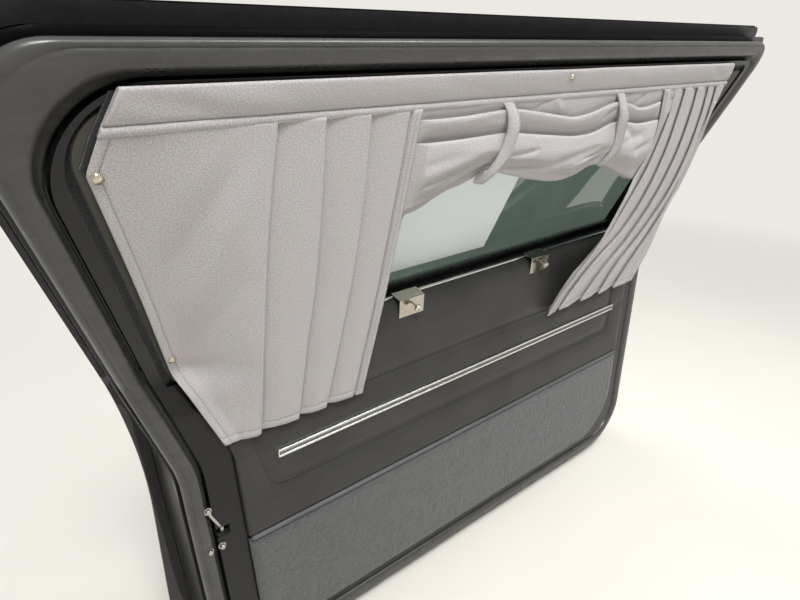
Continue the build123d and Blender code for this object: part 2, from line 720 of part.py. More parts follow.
def swag():
    """Gathered swag: rolls of cloth under the header, with a scalloped lower edge."""
    edges = [CLOTH_TOP, *ROLL_EDGES]
    front = []
    for high, low in zip(edges, edges[1:]):
        middle = (high + low) / 2
        bulge = (X_FAR, hang_y(middle) - ROLL_BULGE, middle)
        front.append(ThreePointArc((X_FAR, hang_y(high), high), bulge, (X_FAR, hang_y(low), low)))
    back = Polyline(
        front[-1] @ 1,
        (X_FAR, hang_y(edges[-1]) + CLOTH, edges[-1]),
        (X_FAR, hang_y(CLOTH_TOP) + CLOTH, CLOTH_TOP),
        front[0] @ 0,
    )
    rolls = along_x([*front, *back.edges()])
    top_x = behind(SWAG_TOP_BACK)
    rear, gather, dip, second, hinge = [(behind(place), 0, z) for place, z in SWAG_EDGE]
    top_front, top_rear = (top_x, 0, TOP_Z), (rear[0], 0, TOP_Z)
    low_edge = Polyline(top_front, top_rear, rear, gather)
    bow = ThreePointArc(gather, dip, second)
    rise = Polyline(second, hinge, (top_x, 0, CLOTH_TOP), top_front)
    outline = make_face([*low_edge.edges(), bow, *rise.edges()])
    return rolls & extrude(outline, amount=OVERRUN, both=True)


def swag_straps():
    """Two narrow loops that gather the swag, hanging over its rolls."""
    half = STRAP_WIDTH / 2
    near = -ROLL_BULGE - STRAP_GAP - STRAP
    low, high = [(hang_y(z), z) for z in (0, CLOTH_TOP)]
    sheet = strip_between(low, high, near, near + STRAP)
    loops = []
    for top_place, low_place, low_z in STRAPS:
        top_x, low_x = behind(top_place), behind(low_place)
        front_side = [(low_x + half, low_z), (top_x + half, CLOTH_TOP)]
        rear_side = [(top_x - half, CLOTH_TOP), (low_x - half, low_z)]
        loops.append(sheet & prism(front_side + rear_side, [1.0] * 4))
    return Compound(children=loops)


def snap_head(x, y, z, tilt, radius):
    """Domed head with its back at the given point."""
    head = Pos(0, 0, SNAP / 2) * Cylinder(radius, SNAP)
    head = chamfer(head.edges().filter_by(GeomType.CIRCLE).sort_by(Axis.Z)[-1], SNAP / 2)
    return Pos(x, y - SNAP_STAND, z) * Rot(90 + tilt, 0, 0) * head


def snap_buttons():
    """Snap heads that hold the cloth to the frame."""
    heads = []
    for z, inside, radius in SNAP_EDGE:
        (high, _, top_stand), (low, _, low_stand) = REAR_ROWS[0], REAR_ROWS[1]
        stand = low_stand + (top_stand - low_stand) * (z - low) / (high - low)
        heads.append(snap_head(rear_x(z) + inside, face_y(z) - stand, z, LEAN, radius))
    place, z, radius = SNAP_HEADER
    heads.append(snap_head(behind(place), face_y(z) - HEADER_GAP - CLOTH, z, LEAN, radius))
    place, z, radius = SNAP_FRONT
    tilt = math.degrees(math.atan((hang_y(z - 1) - hang_y(z + 1)) / 2))
    heads.append(snap_head(behind(place), hang_y(z) - PLEATS_DEEP[0] / 2, z, tilt, radius))
    return Compound(children=heads)


def hook_strips():
    """Hook tape between header and frame, and pads between the hems and the card."""
    length, height = HOOK_PAD
    low, high = -HEM_DROP + CLOTH / 2, -HEM_DROP + height
    cloth_back = hang_y(low) + PLEATS_DEEP[1] / 2 + CLOTH + FIT_GAP
    half = length / 2
    pads = []
    for place in HOOK_PADS_BACK:
        x = behind(place)
        pads.append(block(x - half, x + half, cloth_back, -FIT_GAP, low, high))
    middle = (HEADER_TOP + HEADER_LOW) / 2
    x0, x1 = rear_x(HEADER_TOP) + HEADER_REAR[1], LIP_X - HEADER_FRONT[1]
    tape = lean_slab(FIT_GAP - HEADER_GAP, -FIT_GAP)
    tape = tape & block(x0, x1, -OVERRUN, OVERRUN, middle - HOOK_STRIP / 2, middle + HOOK_STRIP / 2)
    return Compound(children=[tape, *pads])


def notice_sheet():
    """Blank paper sheet lying against the inside of the glass."""
    place, z = PAPER_CORNER
    x = behind(place)
    rise = PAPER_HEIGHT * math.cos(math.radians(LEAN))
    face = GLASS_NEAR - FIT_GAP
    return lean_slab(face - PAPER, face) & block(x, x + PAPER_WIDTH, -OVERRUN, OVERRUN, z, z + rise)


def about_pin(shape, angle, z):
    """Place a shape drawn about the hinge axis."""
    return Pos(0, PIN_Y, z) * Rot(0, 0, angle) * shape


def hinge_leaf(side, plate_x, plate_y, ear_z, bore):
    """Stamped hinge half: base plate on the side given (-1 door, 1 pillar) and two ears."""
    y0, y1 = plate_y
    inner_x = plate_x - side * LEAF
    low, high = sorted((plate_x, inner_x))
    leaf = block(low, high, y0, y1, -LEAF_HEIGHT / 2, LEAF_HEIGHT / 2)
    leaf = chamfer(leaf.edges().filter_by(Axis.X), LEAF_CORNER)
    reach = KNUCKLE_RADIUS / math.sqrt(2)
    start, end = (inner_x, y0 + EAR_INSET[0]), (inner_x, y1 - EAR_INSET[1])
    outline = Polyline(start, end, (0, KNUCKLE_RADIUS), (-side * reach, -reach), close=True)
    ear = make_face(outline) + Circle(KNUCKLE_RADIUS)
    for z in (ear_z, -ear_z - EAR):
        leaf += Pos(0, 0, z) * extrude(ear, amount=EAR)
    leaf -= Cylinder(bore, LEAF_HEIGHT)
    for z in (-BOLT_SPREAD / 2, BOLT_SPREAD / 2):
        leaf -= rod_x(-BOLT_BACK, z, plate_x - 2 * LEAF, plate_x + 2 * LEAF, BOLT_RADIUS)
    return leaf


def door_leaf(z):
    """Hinge half on the door, its ears outside those of the pillar half."""
    leaf = hinge_leaf(-1, SHUT_X, DOOR_LEAF_Y, EAR_Z + EAR + EAR_GAP, PIN_RADIUS + PIN_CLEARANCE)
    return about_pin(leaf, 0, z)


def pillar_leaf(z):
    """Hinge half on the pillar, which grips the pin."""
    leaf = hinge_leaf(1, PILLAR_X, PILLAR_LEAF_Y, EAR_Z, PIN_RADIUS + PIN_GRIP)
    return about_pin(leaf, OPEN_ANGLE, z)


def hinge_pins():
    """Headed hinge pins."""
    pins = []
    half = EAR_Z + 2 * EAR + EAR_GAP
    head_radius, head = PIN_HEAD
    for z in HINGE_Z.values():
        pin = Cylinder(PIN_RADIUS, 2 * (half + PIN_END))
        pin += Pos(0, 0, half + EAR_GAP + head / 2) * Cylinder(head_radius, head)
        pins.append(about_pin(pin, 0, z))
    return Compound(children=pins)


def latch_mouth():
    """Where the striker enters, through the lip and the face."""
    x, z = rear_x(-LATCH_DROP), -LATCH_DROP
    return block(x - MOUTH_REACH[0], x + MOUTH_REACH[1], 0, MOUTH_DEPTH, z - MOUTH / 2, z + MOUTH / 2)


def latch_body():
    """Latch case inside the rear edge, open at the mouth."""
    x, y, z = rear_x(-LATCH_DROP), INNER_Y + SHEET, -LATCH_DROP
    half = CASE_HEIGHT / 2
    case = block(x, x + CASE_LENGTH, y, y + CASE_DEPTH, z - half, z + half)
    case = case & prism(grown(LIP, -SHEET - FIT_GAP), widened(LIP_RADII, -SHEET))
    return case - latch_mouth()


def latch_fork():
    """Rotating claw that grips the striker."""
    claw = Cylinder(CLAW_RADIUS, CLAW) - Pos(CLAW_FORWARD, 0, 0) * Box(2 * CLAW_FORWARD, CLAW_JAW, 2 * CLAW)
    place = Pos(rear_x(-LATCH_DROP) + CLAW_FORWARD, CLAW_Y, -LATCH_DROP)
    return (place * Rot(0, 90, 0) * Rot(0, 0, CLAW_TURN) * claw) & latch_mouth()


def outer_handle():
    """Pull handle: a bowed bar on two round feet."""
    x0 = REAR_X + HANDLE_FORWARD
    x1 = x0 + HANDLE_LENGTH
    z = -HANDLE_DROP
    sunk = SKIN_Y - 2 * SKIN
    middle, crest = (x0 + x1) / 2, SKIN_Y + HANDLE_REACH
    outer = ThreePointArc((x0, sunk, z), (middle, crest, z), (x1, sunk, z))
    start, end = x0 + FOOT_RADIUS, x1 - FOOT_RADIUS
    inner = ThreePointArc((start, sunk, z), (middle, crest - HANDLE, z), (end, sunk, z))
    ends = [Line(outer @ 0, inner @ 0), Line(outer @ 1, inner @ 1)]
    bar = extrude(make_face([outer, inner, *ends]), amount=HANDLE_HEIGHT / 2, both=True, dir=(0, 0, 1))
    crown = bar.faces().sort_by(SortBy.AREA)[-1].edges().filter_by(GeomType.CIRCLE)
    bar = fillet(crown, HANDLE_ROUND)
    for x in (start, end):
        bar += rod_y(x, z, sunk, SKIN_Y + FOOT_HEIGHT, FOOT_RADIUS)
    return bar - outer_slab(-OVERRUN / 4, FIT_GAP)


def lock_cylinder():
    """Key lock with its bright ring."""
    x = REAR_X + HANDLE_FORWARD + HANDLE_LENGTH + LOCK_SPACING
    z = -HANDLE_DROP
    width, height, deep = KEY_SLOT
    lock = rod_y(x, z, SKIN_Y - 2 * SKIN, SKIN_Y + LOCK_HEIGHT, LOCK_RADIUS)
    slot_y = SKIN_Y + LOCK_HEIGHT - deep
    lock -= block(x - width / 2, x + width / 2, slot_y, slot_y + 2 * deep, z - height / 2, z + height / 2)
    return lock - outer_slab(-OVERRUN / 4, FIT_GAP)


def wiring_boot():
    """Ribbed rubber boot for the wiring, from the shut face towards the pillar."""
    cuff_radius, cuff = BOOT_CUFF
    length = math.hypot(BOOT_REACH, BOOT_RISE)
    pitch = (length - cuff) / BOOT_RIBS
    profile = [(0, 0), (BOOT_RADIUS, 0)]
    for i in range(BOOT_RIBS):
        profile += [(BOOT_RADIUS + BOOT_RIB, (i + 0.5) * pitch), (BOOT_RADIUS, (i + 1) * pitch)]
    profile += [(cuff_radius, BOOT_RIBS * pitch), (cuff_radius, length), (0, length)]
    bellows = revolve(make_face(Polyline(*[(r, 0, z) for r, z in profile], close=True).edges()), Axis.Z)
    tilt = math.degrees(math.atan2(BOOT_REACH, BOOT_RISE))
    boot = Pos(SHUT_X, BOOT_Y, -BOOT_DROP) * Rot(0, tilt, 0) * bellows
    boot += rod_x(BOOT_Y, -BOOT_DROP, SHUT_X, SHUT_X + cuff, cuff_radius)
    return boot - block(SHUT_X - OVERRUN / 4, SHUT_X + FIT_GAP, -OVERRUN, OVERRUN, LOW_Z, 0)


nodes = {
    "hinge_pillar_upper": lambda: pillar_leaf(HINGE_Z["upper"]),
    "hinge_pillar_lower": lambda: pillar_leaf(HINGE_Z["lower"]),
    "hinge_pins": hinge_pins,
    "hinge_door_upper": lambda: door_leaf(HINGE_Z["upper"]),
    "hinge_door_lower": lambda: door_leaf(HINGE_Z["lower"]),
    "outer_skin": outer_skin,
    "inner_panel": inner_panel,
    "latch_plate": latch_plate,
    "window_frame": window_frame,
    "frame_garnish": frame_garnish,
    "window_glass": glass,
    "glass_run_seal": glass_run,
    "belt_seal_inner": belt_seal,
    "belt_moulding_outer": belt_moulding,
    "door_weatherstrip": weatherstrip,
    "frame_lip_seal": reveal_seal,
    "trim_card": trim_card,
    "carpet_panel": carpet_panel,
    "card_piping": piping,
    "bright_strip": bright_strip,
    "sill_bead": sill_bead,
    "plate_clip_rear": lambda: clip_strip(CLIP_BACK[0]),
    "plate_clip_front": lambda: clip_strip(CLIP_BACK[1]),
    "clip_screws": clip_screws,
    "drape_header": drape_header,
    "drape_rear": drape_rear,
    "drape_front": drape_front,
    "drape_swag": swag,
    "swag_straps": swag_straps,
    "hook_strips": hook_strips,
    "snap_buttons": snap_buttons,
    "notice_sheet": notice_sheet,
    "latch_body": latch_body,
    "latch_fork": latch_fork,
    "outer_handle": outer_handle,
    "lock_cylinder": lock_cylinder,
    "wiring_boot": wiring_boot,
}

# The part's origin: middle of the lower hinge's face on the pillar
pillar_face = Pos(PILLAR_X, sum(PILLAR_LEAF_Y) / 2, 0) * Vertex(0, 0, 0)
origin = about_pin(pillar_face, OPEN_ANGLE, HINGE_Z["lower"]).center()
print("origin", origin)

os.makedirs("parts", exist_ok=True)
for name, make in nodes.items():
    solid = Pos(-origin.X, -origin.Y, -origin.Z) * make()
    print(name, len(solid.solids()), round(solid.volume))
    export_step(solid, f"parts/{name}.step")
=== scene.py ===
import math

import bpy
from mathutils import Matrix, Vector, noise


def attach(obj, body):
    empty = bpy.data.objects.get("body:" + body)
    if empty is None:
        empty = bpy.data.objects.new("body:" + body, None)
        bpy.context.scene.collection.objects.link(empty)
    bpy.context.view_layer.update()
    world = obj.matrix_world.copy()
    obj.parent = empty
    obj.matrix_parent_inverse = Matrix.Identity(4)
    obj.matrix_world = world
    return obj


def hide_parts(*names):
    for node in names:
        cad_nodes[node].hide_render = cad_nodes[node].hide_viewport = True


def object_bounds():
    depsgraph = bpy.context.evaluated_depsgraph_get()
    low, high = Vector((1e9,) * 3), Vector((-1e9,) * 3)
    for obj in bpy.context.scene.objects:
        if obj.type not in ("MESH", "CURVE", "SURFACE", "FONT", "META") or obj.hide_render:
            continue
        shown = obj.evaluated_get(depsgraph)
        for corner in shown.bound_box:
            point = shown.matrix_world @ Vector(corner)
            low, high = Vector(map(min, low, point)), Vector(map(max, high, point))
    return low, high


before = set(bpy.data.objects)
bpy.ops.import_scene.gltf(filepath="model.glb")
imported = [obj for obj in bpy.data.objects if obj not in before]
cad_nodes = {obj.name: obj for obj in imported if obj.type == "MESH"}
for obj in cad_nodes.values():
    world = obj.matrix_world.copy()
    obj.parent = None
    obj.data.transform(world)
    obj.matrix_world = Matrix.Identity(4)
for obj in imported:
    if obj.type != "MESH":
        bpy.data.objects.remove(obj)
cad_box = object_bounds()


def placed(name, data):
    """Object with this data, in the scene."""
    obj = bpy.data.objects.new(name, data)
    bpy.context.scene.collection.objects.link(obj)
    return obj


# Camera
camera = placed("camera", bpy.data.cameras.new("camera"))
camera.data.lens = 27
camera.data.sensor_width = 36
camera.location = (-1.5868, -0.9307, 0.9550)
camera.rotation_euler = (math.radians(90 - 23.03), 0, math.radians(-39.07))
bpy.context.scene.camera = camera
bpy.context.scene.view_settings.view_transform = "Standard"

# The door is drawn in millimetres: x = 0 at the hinge axis, y = 0 at the face of
# the trim card, z = 0 at the belt
ORIGIN = (30.8047, 130.7369, -500)

# Corners of the lip between inner face and shut face, and their radii: front
# bottom, front top, rear top, knee, rear bottom
FRONT_LIP, LIP_LOW = -66, -636
KNEE_X, KNEE_Z = -1308, -176.7
LIP = [(FRONT_LIP, LIP_LOW), (FRONT_LIP, 424), (-1488.2, 424), (KNEE_X, KNEE_Z), (-1288, LIP_LOW)]
LIP_RADII = [90, 24, 96, 200, 60]
BELT_REAR = -1361

# Window frame: its lean, and its face and the door's at the belt
LEAN = math.tan(math.radians(27))
FRAME_FACE, DOOR_FACE = 25, 12

# Heights of the drapes: the header band, where the panels start, the rear
# panel's upper corner, the hem and the stitched line above it
HEADER_LOW, HEADER_TALL = 375, 45
PANEL_TOP, CLOTH_TOP = 377.5, 374.8
CORNER_Z = 338
HEM_Z = -133
STITCH_Z = HEM_Z + 15

# Thickness of the cloth: header, panels and swag, straps
HEADER_THICK, CLOTH_THICK, STRAP_THICK = 0.7, 0.6, 1.2


def to_frame(x, y, z):
    return ((x - ORIGIN[0]) / 1000, (y - ORIGIN[1]) / 1000, (z - ORIGIN[2]) / 1000)


def blend(a, b, share):
    return a + (b - a) * share


def ease(t):
    t = min(max(t, 0), 1)
    return t * t * (3 - 2 * t)


def along(stops, value):
    """Smooth curve through (value, result) stops that rise in value."""
    if value <= stops[0][0]:
        return stops[0][1]
    if value >= stops[-1][0]:
        return stops[-1][1]
    for k in range(len(stops) - 1):
        if value <= stops[k + 1][0]:
            break
    (x1, y1), (x2, y2) = stops[k], stops[k + 1]
    x0, y0 = stops[k - 1] if k > 0 else (x1 - (x2 - x1), y1 - (y2 - y1))
    x3, y3 = stops[k + 2] if k + 2 < len(stops) else (x2 + (x2 - x1), y2 + (y2 - y1))
    t = (value - x1) / (x2 - x1)
    m1 = (y2 - y0) / (x2 - x0) * (x2 - x1)
    m2 = (y3 - y1) / (x3 - x1) * (x2 - x1)
    t2, t3 = t * t, t * t * t
    return (2 * t3 - 3 * t2 + 1) * y1 + (t3 - 2 * t2 + t) * m1 + (3 * t2 - 2 * t3) * y2 + (t3 - t2) * m2


def steps(count):
    """Shares between 0 and 1, without the two ends."""
    return [k / count for k in range(1, count)]


def spread(a, b, count):
    """Evenly spaced values from a to b, with both ends."""
    return [blend(a, b, k / count) for k in range(count + 1)]


def arch(t):
    """0 at both ends of the shares, 1 in the middle."""
    return math.sin(math.pi * t)


def pulled_in(radius, into):
    """How far a round corner lies inside its square one, at a distance into it."""
    return radius - math.sqrt(max(radius**2 - into**2, 0)) if into > 0 else 0


def followers(items):
    """The next item to each one, round a closed list."""
    return items[1:] + items[:1]


def beside(items, k):
    """Items before and after one; at an end, that one itself."""
    return items[max(k - 1, 0)], items[min(k + 1, len(items) - 1)]


def bell(value, middle, width):
    """1 at the middle, falling smoothly to 0 on both sides."""
    return math.exp(-(((value - middle) / width) ** 2))


def shifted(points, x, y):
    return [(x + dx, y + dy) for dx, dy in points]


def rear_x(z):
    """Lip at the rear edge."""
    if z >= KNEE_Z:
        return BELT_REAR - 0.3 * z
    return KNEE_X + 20 * (KNEE_Z - z) / (KNEE_Z - LIP_LOW)


def face_y(z):
    """Inner face of the window frame."""
    return FRAME_FACE - z * LEAN


def inner_y(z):
    """Inner face of the whole door."""
    return face_y(z) if z >= 0 else blend(DOOR_FACE, FRAME_FACE, ease((z + 70) / 70))


def hang_y(z):
    """Middle of the folds of the hanging cloth."""
    return -173.57 + 161.57 * (HEADER_LOW - z) / (HEADER_LOW - HEM_Z)


def low_share(z):
    """0 at the panels' top, 1 at their hem."""
    return max((CLOTH_TOP - z) / (CLOTH_TOP - HEM_Z), 0)


def ripple(x, z, seed, size_x, size_z):
    """Smooth noise, -1 to 1."""
    return noise.noise(Vector((x / size_x, z / size_z, seed)))


def new_object(name, vertices, faces, uv=None):
    mesh = bpy.data.meshes.new(name)
    mesh.from_pydata([to_frame(*v) for v in vertices], [], faces)
    if uv:
        layer = mesh.uv_layers.new(name="UVMap")
        for loop in mesh.loops:
            layer.data[loop.index].uv = uv[loop.vertex_index]
    mesh.validate()
    mesh.polygons.foreach_set("use_smooth", [True] * len(mesh.polygons))
    return placed(name, mesh)


def quads(count, width, ring=False, across=False):
    """Faces between rows of points; ring joins the last row to the first, across each row's ends."""
    faces = []
    for i in range(count if ring else count - 1):
        low = (i + 1) % count * width
        for j in range(width if across else width - 1):
            right = (j + 1) % width
            faces.append((i * width + j, low + j, low + right, i * width + right))
    return faces


def grid_object(name, rows, ring=False, across=False):
    """Surface through rows of points."""
    uv = []
    down = [0] * len(rows[0])
    for i, row in enumerate(rows):
        reach = 0
        for j, point in enumerate(row):
            if j:
                reach += math.dist(point, row[j - 1])
            if i:
                down[j] += math.dist(point, rows[i - 1][j])
            uv.append((reach / 1000, -down[j] / 1000))
    vertices = [point for row in rows for point in row]
    return new_object(name, vertices, quads(len(rows), len(rows[0]), ring, across), uv)


def apply_modifiers(obj):
    """Keep what the modifiers make as the object's own mesh."""
    bpy.context.view_layer.update()
    graph = bpy.context.evaluated_depsgraph_get()
    mesh = bpy.data.meshes.new_from_object(obj.evaluated_get(graph))
    obj.modifiers.clear()
    obj.data = mesh
    mesh.polygons.foreach_set("use_smooth", [True] * len(mesh.polygons))
    return obj


def thicken(obj, thickness):
    """Give a sheet its thickness, away from its front."""
    solid = obj.modifiers.new("thickness", "SOLIDIFY")
    solid.thickness = thickness / 1000
    solid.offset = -1
    solid.use_rim = True
    return apply_modifiers(obj)


def joined(name, parts):
    """Several (vertices, faces) lists as one object."""
    vertices, faces = [], []
    for part_vertices, part_faces in parts:
        start = len(vertices)
        vertices += part_vertices
        faces += [tuple(start + k for k in face) for face in part_faces]
    return new_object(name, vertices, faces)


def tube(points, radius, sides):
    """Tube through points, its radius a number or a list."""
    vertices = []
    count = len(points)
    side = Vector((0, 0, 1))
    for i, point in enumerate(points):
        before, after = beside(points, i)
        axis = (Vector(after) - Vector(before)).normalized()
        if abs(axis.dot(side)) > 0.95:
            side = Vector((0, 1, 0))
        first = axis.cross(side).normalized()
        second = axis.cross(first)
        r = radius[i] if isinstance(radius, list) else radius
        for k in range(sides):
            turn = 2 * math.pi * k / sides
            vertices.append(tuple(Vector(point) + r * (math.cos(turn) * first + math.sin(turn) * second)))
    faces = [(a, b, c, d) for a, d, c, b in quads(count, sides, across=True)]
    faces.append(tuple(reversed(range(sides))))
    faces.append(tuple((count - 1) * sides + k for k in range(sides)))
    return vertices, faces


def normals_of(rows):
    """Front normal at each point of a grid."""
    result = []
    for i, row in enumerate(rows):
        above, below = beside(rows, i)
        line = []
        for j in range(len(row)):
            left, right = beside(row, j)
            normal = (Vector(below[j]) - Vector(above[j])).cross(Vector(right) - Vector(left))
            line.append(normal.normalized() if normal.length > 1e-9 else Vector((0, -1, 0)))
        result.append(line)
    return result


def thread(path, length=3.2, gap=1.4, radius=0.38):
    """Stitches along a path of (point, normal)."""
    parts = []
    points = [Vector(p) for p, _ in path]
    lengths = [0]
    for a, b in zip(points, points[1:]):
        lengths.append(lengths[-1] + (b - a).length)

    def at(distance):
        for k in range(len(points) - 1):
            if distance <= lengths[k + 1]:
                break
        span = max(lengths[k + 1] - lengths[k], 1e-6)
        share = min(max((distance - lengths[k]) / span, 0), 1)
        normal = Vector(path[k][1]).lerp(Vector(path[k + 1][1]), share)
        return points[k].lerp(points[k + 1], share), normal

    start = gap
    while start + length < lengths[-1]:
        centre = []
        for share, lift in ((0, -0.5), (0.2, 0.25), (0.5, 0.42), (0.8, 0.25), (1, -0.5)):
            point, normal = at(start + length * share)
            centre.append(tuple(point + normal * lift))
        parts.append(tube(centre, radius, 5))
        start += length + gap
    return parts


class Nodes:
    """Nodes of a material or of the world."""

    def __init__(self, tree):
        self.tree = tree

    def node(self, kind, inputs=None, **settings):
        item = self.tree.nodes.new(kind)
        for key, value in settings.items():
            setattr(item, key, value)
        for key, value in (inputs or {}).items():
            if isinstance(value, bpy.types.NodeSocket):
                self.tree.links.new(value, item.inputs[key])
            else:
                item.inputs[key].default_value = value
        return item

    def maths(self, operation, a, b):
        return self.node("ShaderNodeMath", {0: a, 1: b}, operation=operation).outputs["Value"]

    def ramp(self, value, low, high, stops):
        """Colours between two values of a factor."""
        item = self.node("ShaderNodeValToRGB", {"Fac": value})
        elements = item.color_ramp.elements
        while len(elements) < len(stops):
            elements.new(0.5)
        for k, colour in enumerate(stops):
            elements[k].position = low + (high - low) * k / (len(stops) - 1)
            elements[k].color = (*colour, 1)
        return item.outputs["Color"]

    def shown(self):
        """1 for rays that show the pale background: straight, mirrored or let through."""
        rays = self.node("ShaderNodeLightPath").outputs
        either = self.maths("MAXIMUM", rays["Is Camera Ray"], rays["Is Glossy Ray"])
        return self.maths("MAXIMUM", either, rays["Is Transmission Ray"])

    def show(self, output, share, first, second):
        """Send a mix of two shaders to the output."""
        mixed = self.node("ShaderNodeMixShader", {"Fac": share, 1: first, 2: second})
        self.tree.links.new(mixed.outputs["Shader"], self.tree.nodes[output].inputs["Surface"])


class Look(Nodes):
    """A material in the making, its sizes in millimetres."""

    def __init__(self, name, **values):
        self.material = bpy.data.materials.new(name)
        self.material.use_nodes = True
        super().__init__(self.material.node_tree)
        self.shader = self.tree.nodes["Principled BSDF"]
        self.place = self.node("ShaderNodeTexCoord").outputs
        for key, value in values.items():
            self.shader.inputs[key.replace("_", " ")].default_value = value

    def surface(self, colour, rough=None, normal=None):
        """Link what varies over the surface; the rest is on the shader's own sockets."""
        for key, source in (("Base Color", colour), ("Roughness", rough), ("Normal", normal)):
            if source is not None:
                self.tree.links.new(source, self.shader.inputs[key])
        return self.material

    def where(self, scale=(1, 1, 1)):
        inputs = {"Vector": self.place["Object"], "Scale": scale}
        return self.node("ShaderNodeMapping", inputs).outputs["Vector"]

    def noise(self, size, detail=3, rough=0.55, vector=None, twist=0):
        """Noise with features of about size millimetres."""
        inputs = {"Vector": vector or self.place["Object"], "Scale": 1000 / size}
        inputs.update({"Detail": detail, "Roughness": rough, "Distortion": twist})
        return self.node("ShaderNodeTexNoise", inputs).outputs["Fac"]

    def cells(self, size):
        inputs = {"Vector": self.place["Object"], "Scale": 1000 / size}
        return self.node("ShaderNodeTexVoronoi", inputs).outputs["Distance"]

    def bands(self, size, direction, vector, twist=0):
        """Woven or ribbed lines, size millimetres apart."""
        inputs = {"Vector": vector, "Scale": 500 / size, "Distortion": twist}
        inputs.update({"Detail": 1, "Detail Scale": 1.5})
        return self.node("ShaderNodeTexWave", inputs, bands_direction=direction).outputs["Fac"]

    def span(self, value, low, high, to_low, to_high):
        inputs = {"Value": value, "From Min": low, "From Max": high, "To Min": to_low, "To Max": to_high}
        return self.node("ShaderNodeMapRange", inputs).outputs["Result"]

    def mix(self, factor, a, b):
        """Colour a, with a plain colour b by the factor."""
        item = self.node("ShaderNodeMix", data_type="RGBA")
        sockets = {socket.name: socket for socket in item.inputs if socket.enabled}
        self.tree.links.new(factor, sockets["Factor"])
        self.tree.links.new(a, sockets["A"])
        sockets["B"].default_value = (*b, 1)
        return [socket for socket in item.outputs if socket.enabled][0]

    def bump(self, height, depth, strength=1, below=None):
        """Bump whose height of 1 is depth millimetres."""
        inputs = {"Height": height, "Distance": depth / 1000, "Strength": strength}
        if below is not None:
            inputs["Normal"] = below
        return self.node("ShaderNodeBump", inputs).outputs["Normal"]


def cloth_look():
    """Heather weave, its threads along the cloth's own grain."""
    look = Look("drape_cloth", Sheen_Weight=0.22, Sheen_Roughness=0.55, Specular_IOR_Level=0.18)
    uv = look.place["UV"]
    fibre = look.noise(1.9, 3, 0.75, uv)
    patch = look.noise(26, 3, 0.6, uv)
    broad = look.noise(150, 2, 0.5)
    base = look.ramp(fibre, 0.36, 0.64, [(0.3, 0.284, 0.283), (0.475, 0.453, 0.45), (0.65, 0.625, 0.62)])
    warm = look.mix(look.span(patch, 0.35, 0.65, 0, 0.35), base, (0.49, 0.452, 0.458))
    colour = look.mix(look.span(broad, 0.35, 0.65, 0, 0.16), warm, (0.43, 0.41, 0.4))
    weave = look.maths("MAXIMUM", look.bands(0.9, "X", uv, 1.2), look.bands(0.9, "Y", uv, 1.2))
    normal = look.bump(look.noise(3, 3, 0.6, uv), 0.25, 0.5, look.bump(weave, 0.22, 0.7))
    return look.surface(colour, look.span(fibre, 0.3, 0.7, 0.96, 0.86), normal)


def thread_look():
    look = Look("drape_thread", Roughness=0.7, Sheen_Weight=0.2)
    # Grey thread a little darker than the cloth, and darkened further as painted shade of the stitched groove
    # it lies in
    colour = look.ramp(look.noise(0.8, 2), 0.3, 0.7, [(0.16, 0.15, 0.145), (0.26, 0.25, 0.24)])
    return look.surface(colour, normal=look.bump(look.bands(0.5, "DIAGONAL", look.where()), 0.1, 0.6))


def vinyl_look(name, dark, light, rough, grain=0.9):
    """Pebbled vinyl with a little dust."""
    look = Look(name, Specular_IOR_Level=0.3)
    colour = look.ramp(look.noise(120), 0.3, 0.7, [dark, light])
    dust = look.span(look.noise(9, 5, 0.7), 0.62, 0.8, 0, 0.18)
    colour = look.mix(dust, colour, tuple(c * 1.9 + 0.02 for c in light))
    polish = look.span(look.noise(3, 3, 0.6), 0.3, 0.7, rough - 0.06, rough + 0.07)
    pebbles = look.bump(look.cells(grain), 0.16, 0.55)
    return look.surface(colour, polish, look.bump(look.noise(14, 2), 0.4, 0.2, pebbles))


def paint_look(name, coat, rough):
    """Black paint under a clear coat, with a faint haze."""
    look = Look(name, Coat_Weight=coat, Coat_Roughness=0.04, Coat_IOR=1.5, Specular_IOR_Level=0.2)
    colour = look.ramp(look.noise(1.2, 2), 0.4, 0.8, [(0.0045, 0.004, 0.004), (0.009, 0.0085, 0.008)])
    haze = look.noise(60, 6, 0.7, look.where((1, 1, 0.4)), 0.6)
    polish = look.span(haze, 0.35, 0.75, rough, rough + 0.05)
    return look.surface(colour, polish, look.bump(look.noise(40, 2), 0.12, 0.3))


def rubber_look(name, dark, light, rough, streak=(1, 1, 1)):
    """Rubber or plastic with scuffs."""
    look = Look(name, Specular_IOR_Level=0.5)
    scuff = look.noise(18, 6, 0.72, look.where(streak), 0.4)
    polish = look.span(look.noise(40, 4, 0.6), 0.3, 0.7, rough - 0.07, rough + 0.09)
    pores = look.bump(look.noise(1.6, 3, 0.6), 0.12, 0.35)
    normal = look.bump(look.noise(22, 2), 0.7, 0.25, pores)
    return look.surface(look.ramp(scuff, 0.35, 0.75, [dark, light]), polish, normal)


def carpet_look():
    look = Look("grey_carpet", Roughness=1, Sheen_Weight=0.35, Sheen_Roughness=0.6, Specular_IOR_Level=0.1)
    tuft = look.noise(2.6, 5, 0.75)
    base = look.ramp(tuft, 0.32, 0.68, [(0.01, 0.01, 0.01), (0.055, 0.055, 0.054), (0.15, 0.15, 0.148)])
    fleck = look.span(look.noise(5, 3, 0.6), 0.4, 0.6, 0, 0.4)
    normal = look.bump(tuft, 1.6, 0.9, look.bump(look.cells(1.8), 1.2, 0.8))
    return look.surface(look.mix(fleck, base, (0.07, 0.07, 0.069)), normal=normal)


def metal_look(name, colour, rough, brushed=(1, 1, 1)):
    look = Look(name, Metallic=1)
    shade = look.ramp(look.noise(14, 5, 0.7), 0.35, 0.75, [colour, tuple(c * 0.82 for c in colour)])
    lines = look.noise(1, 3, 0.6, look.where(brushed))
    return look.surface(shade, look.span(lines, 0.3, 0.7, rough, rough + 0.12), look.bump(lines, 0.03, 0.2))


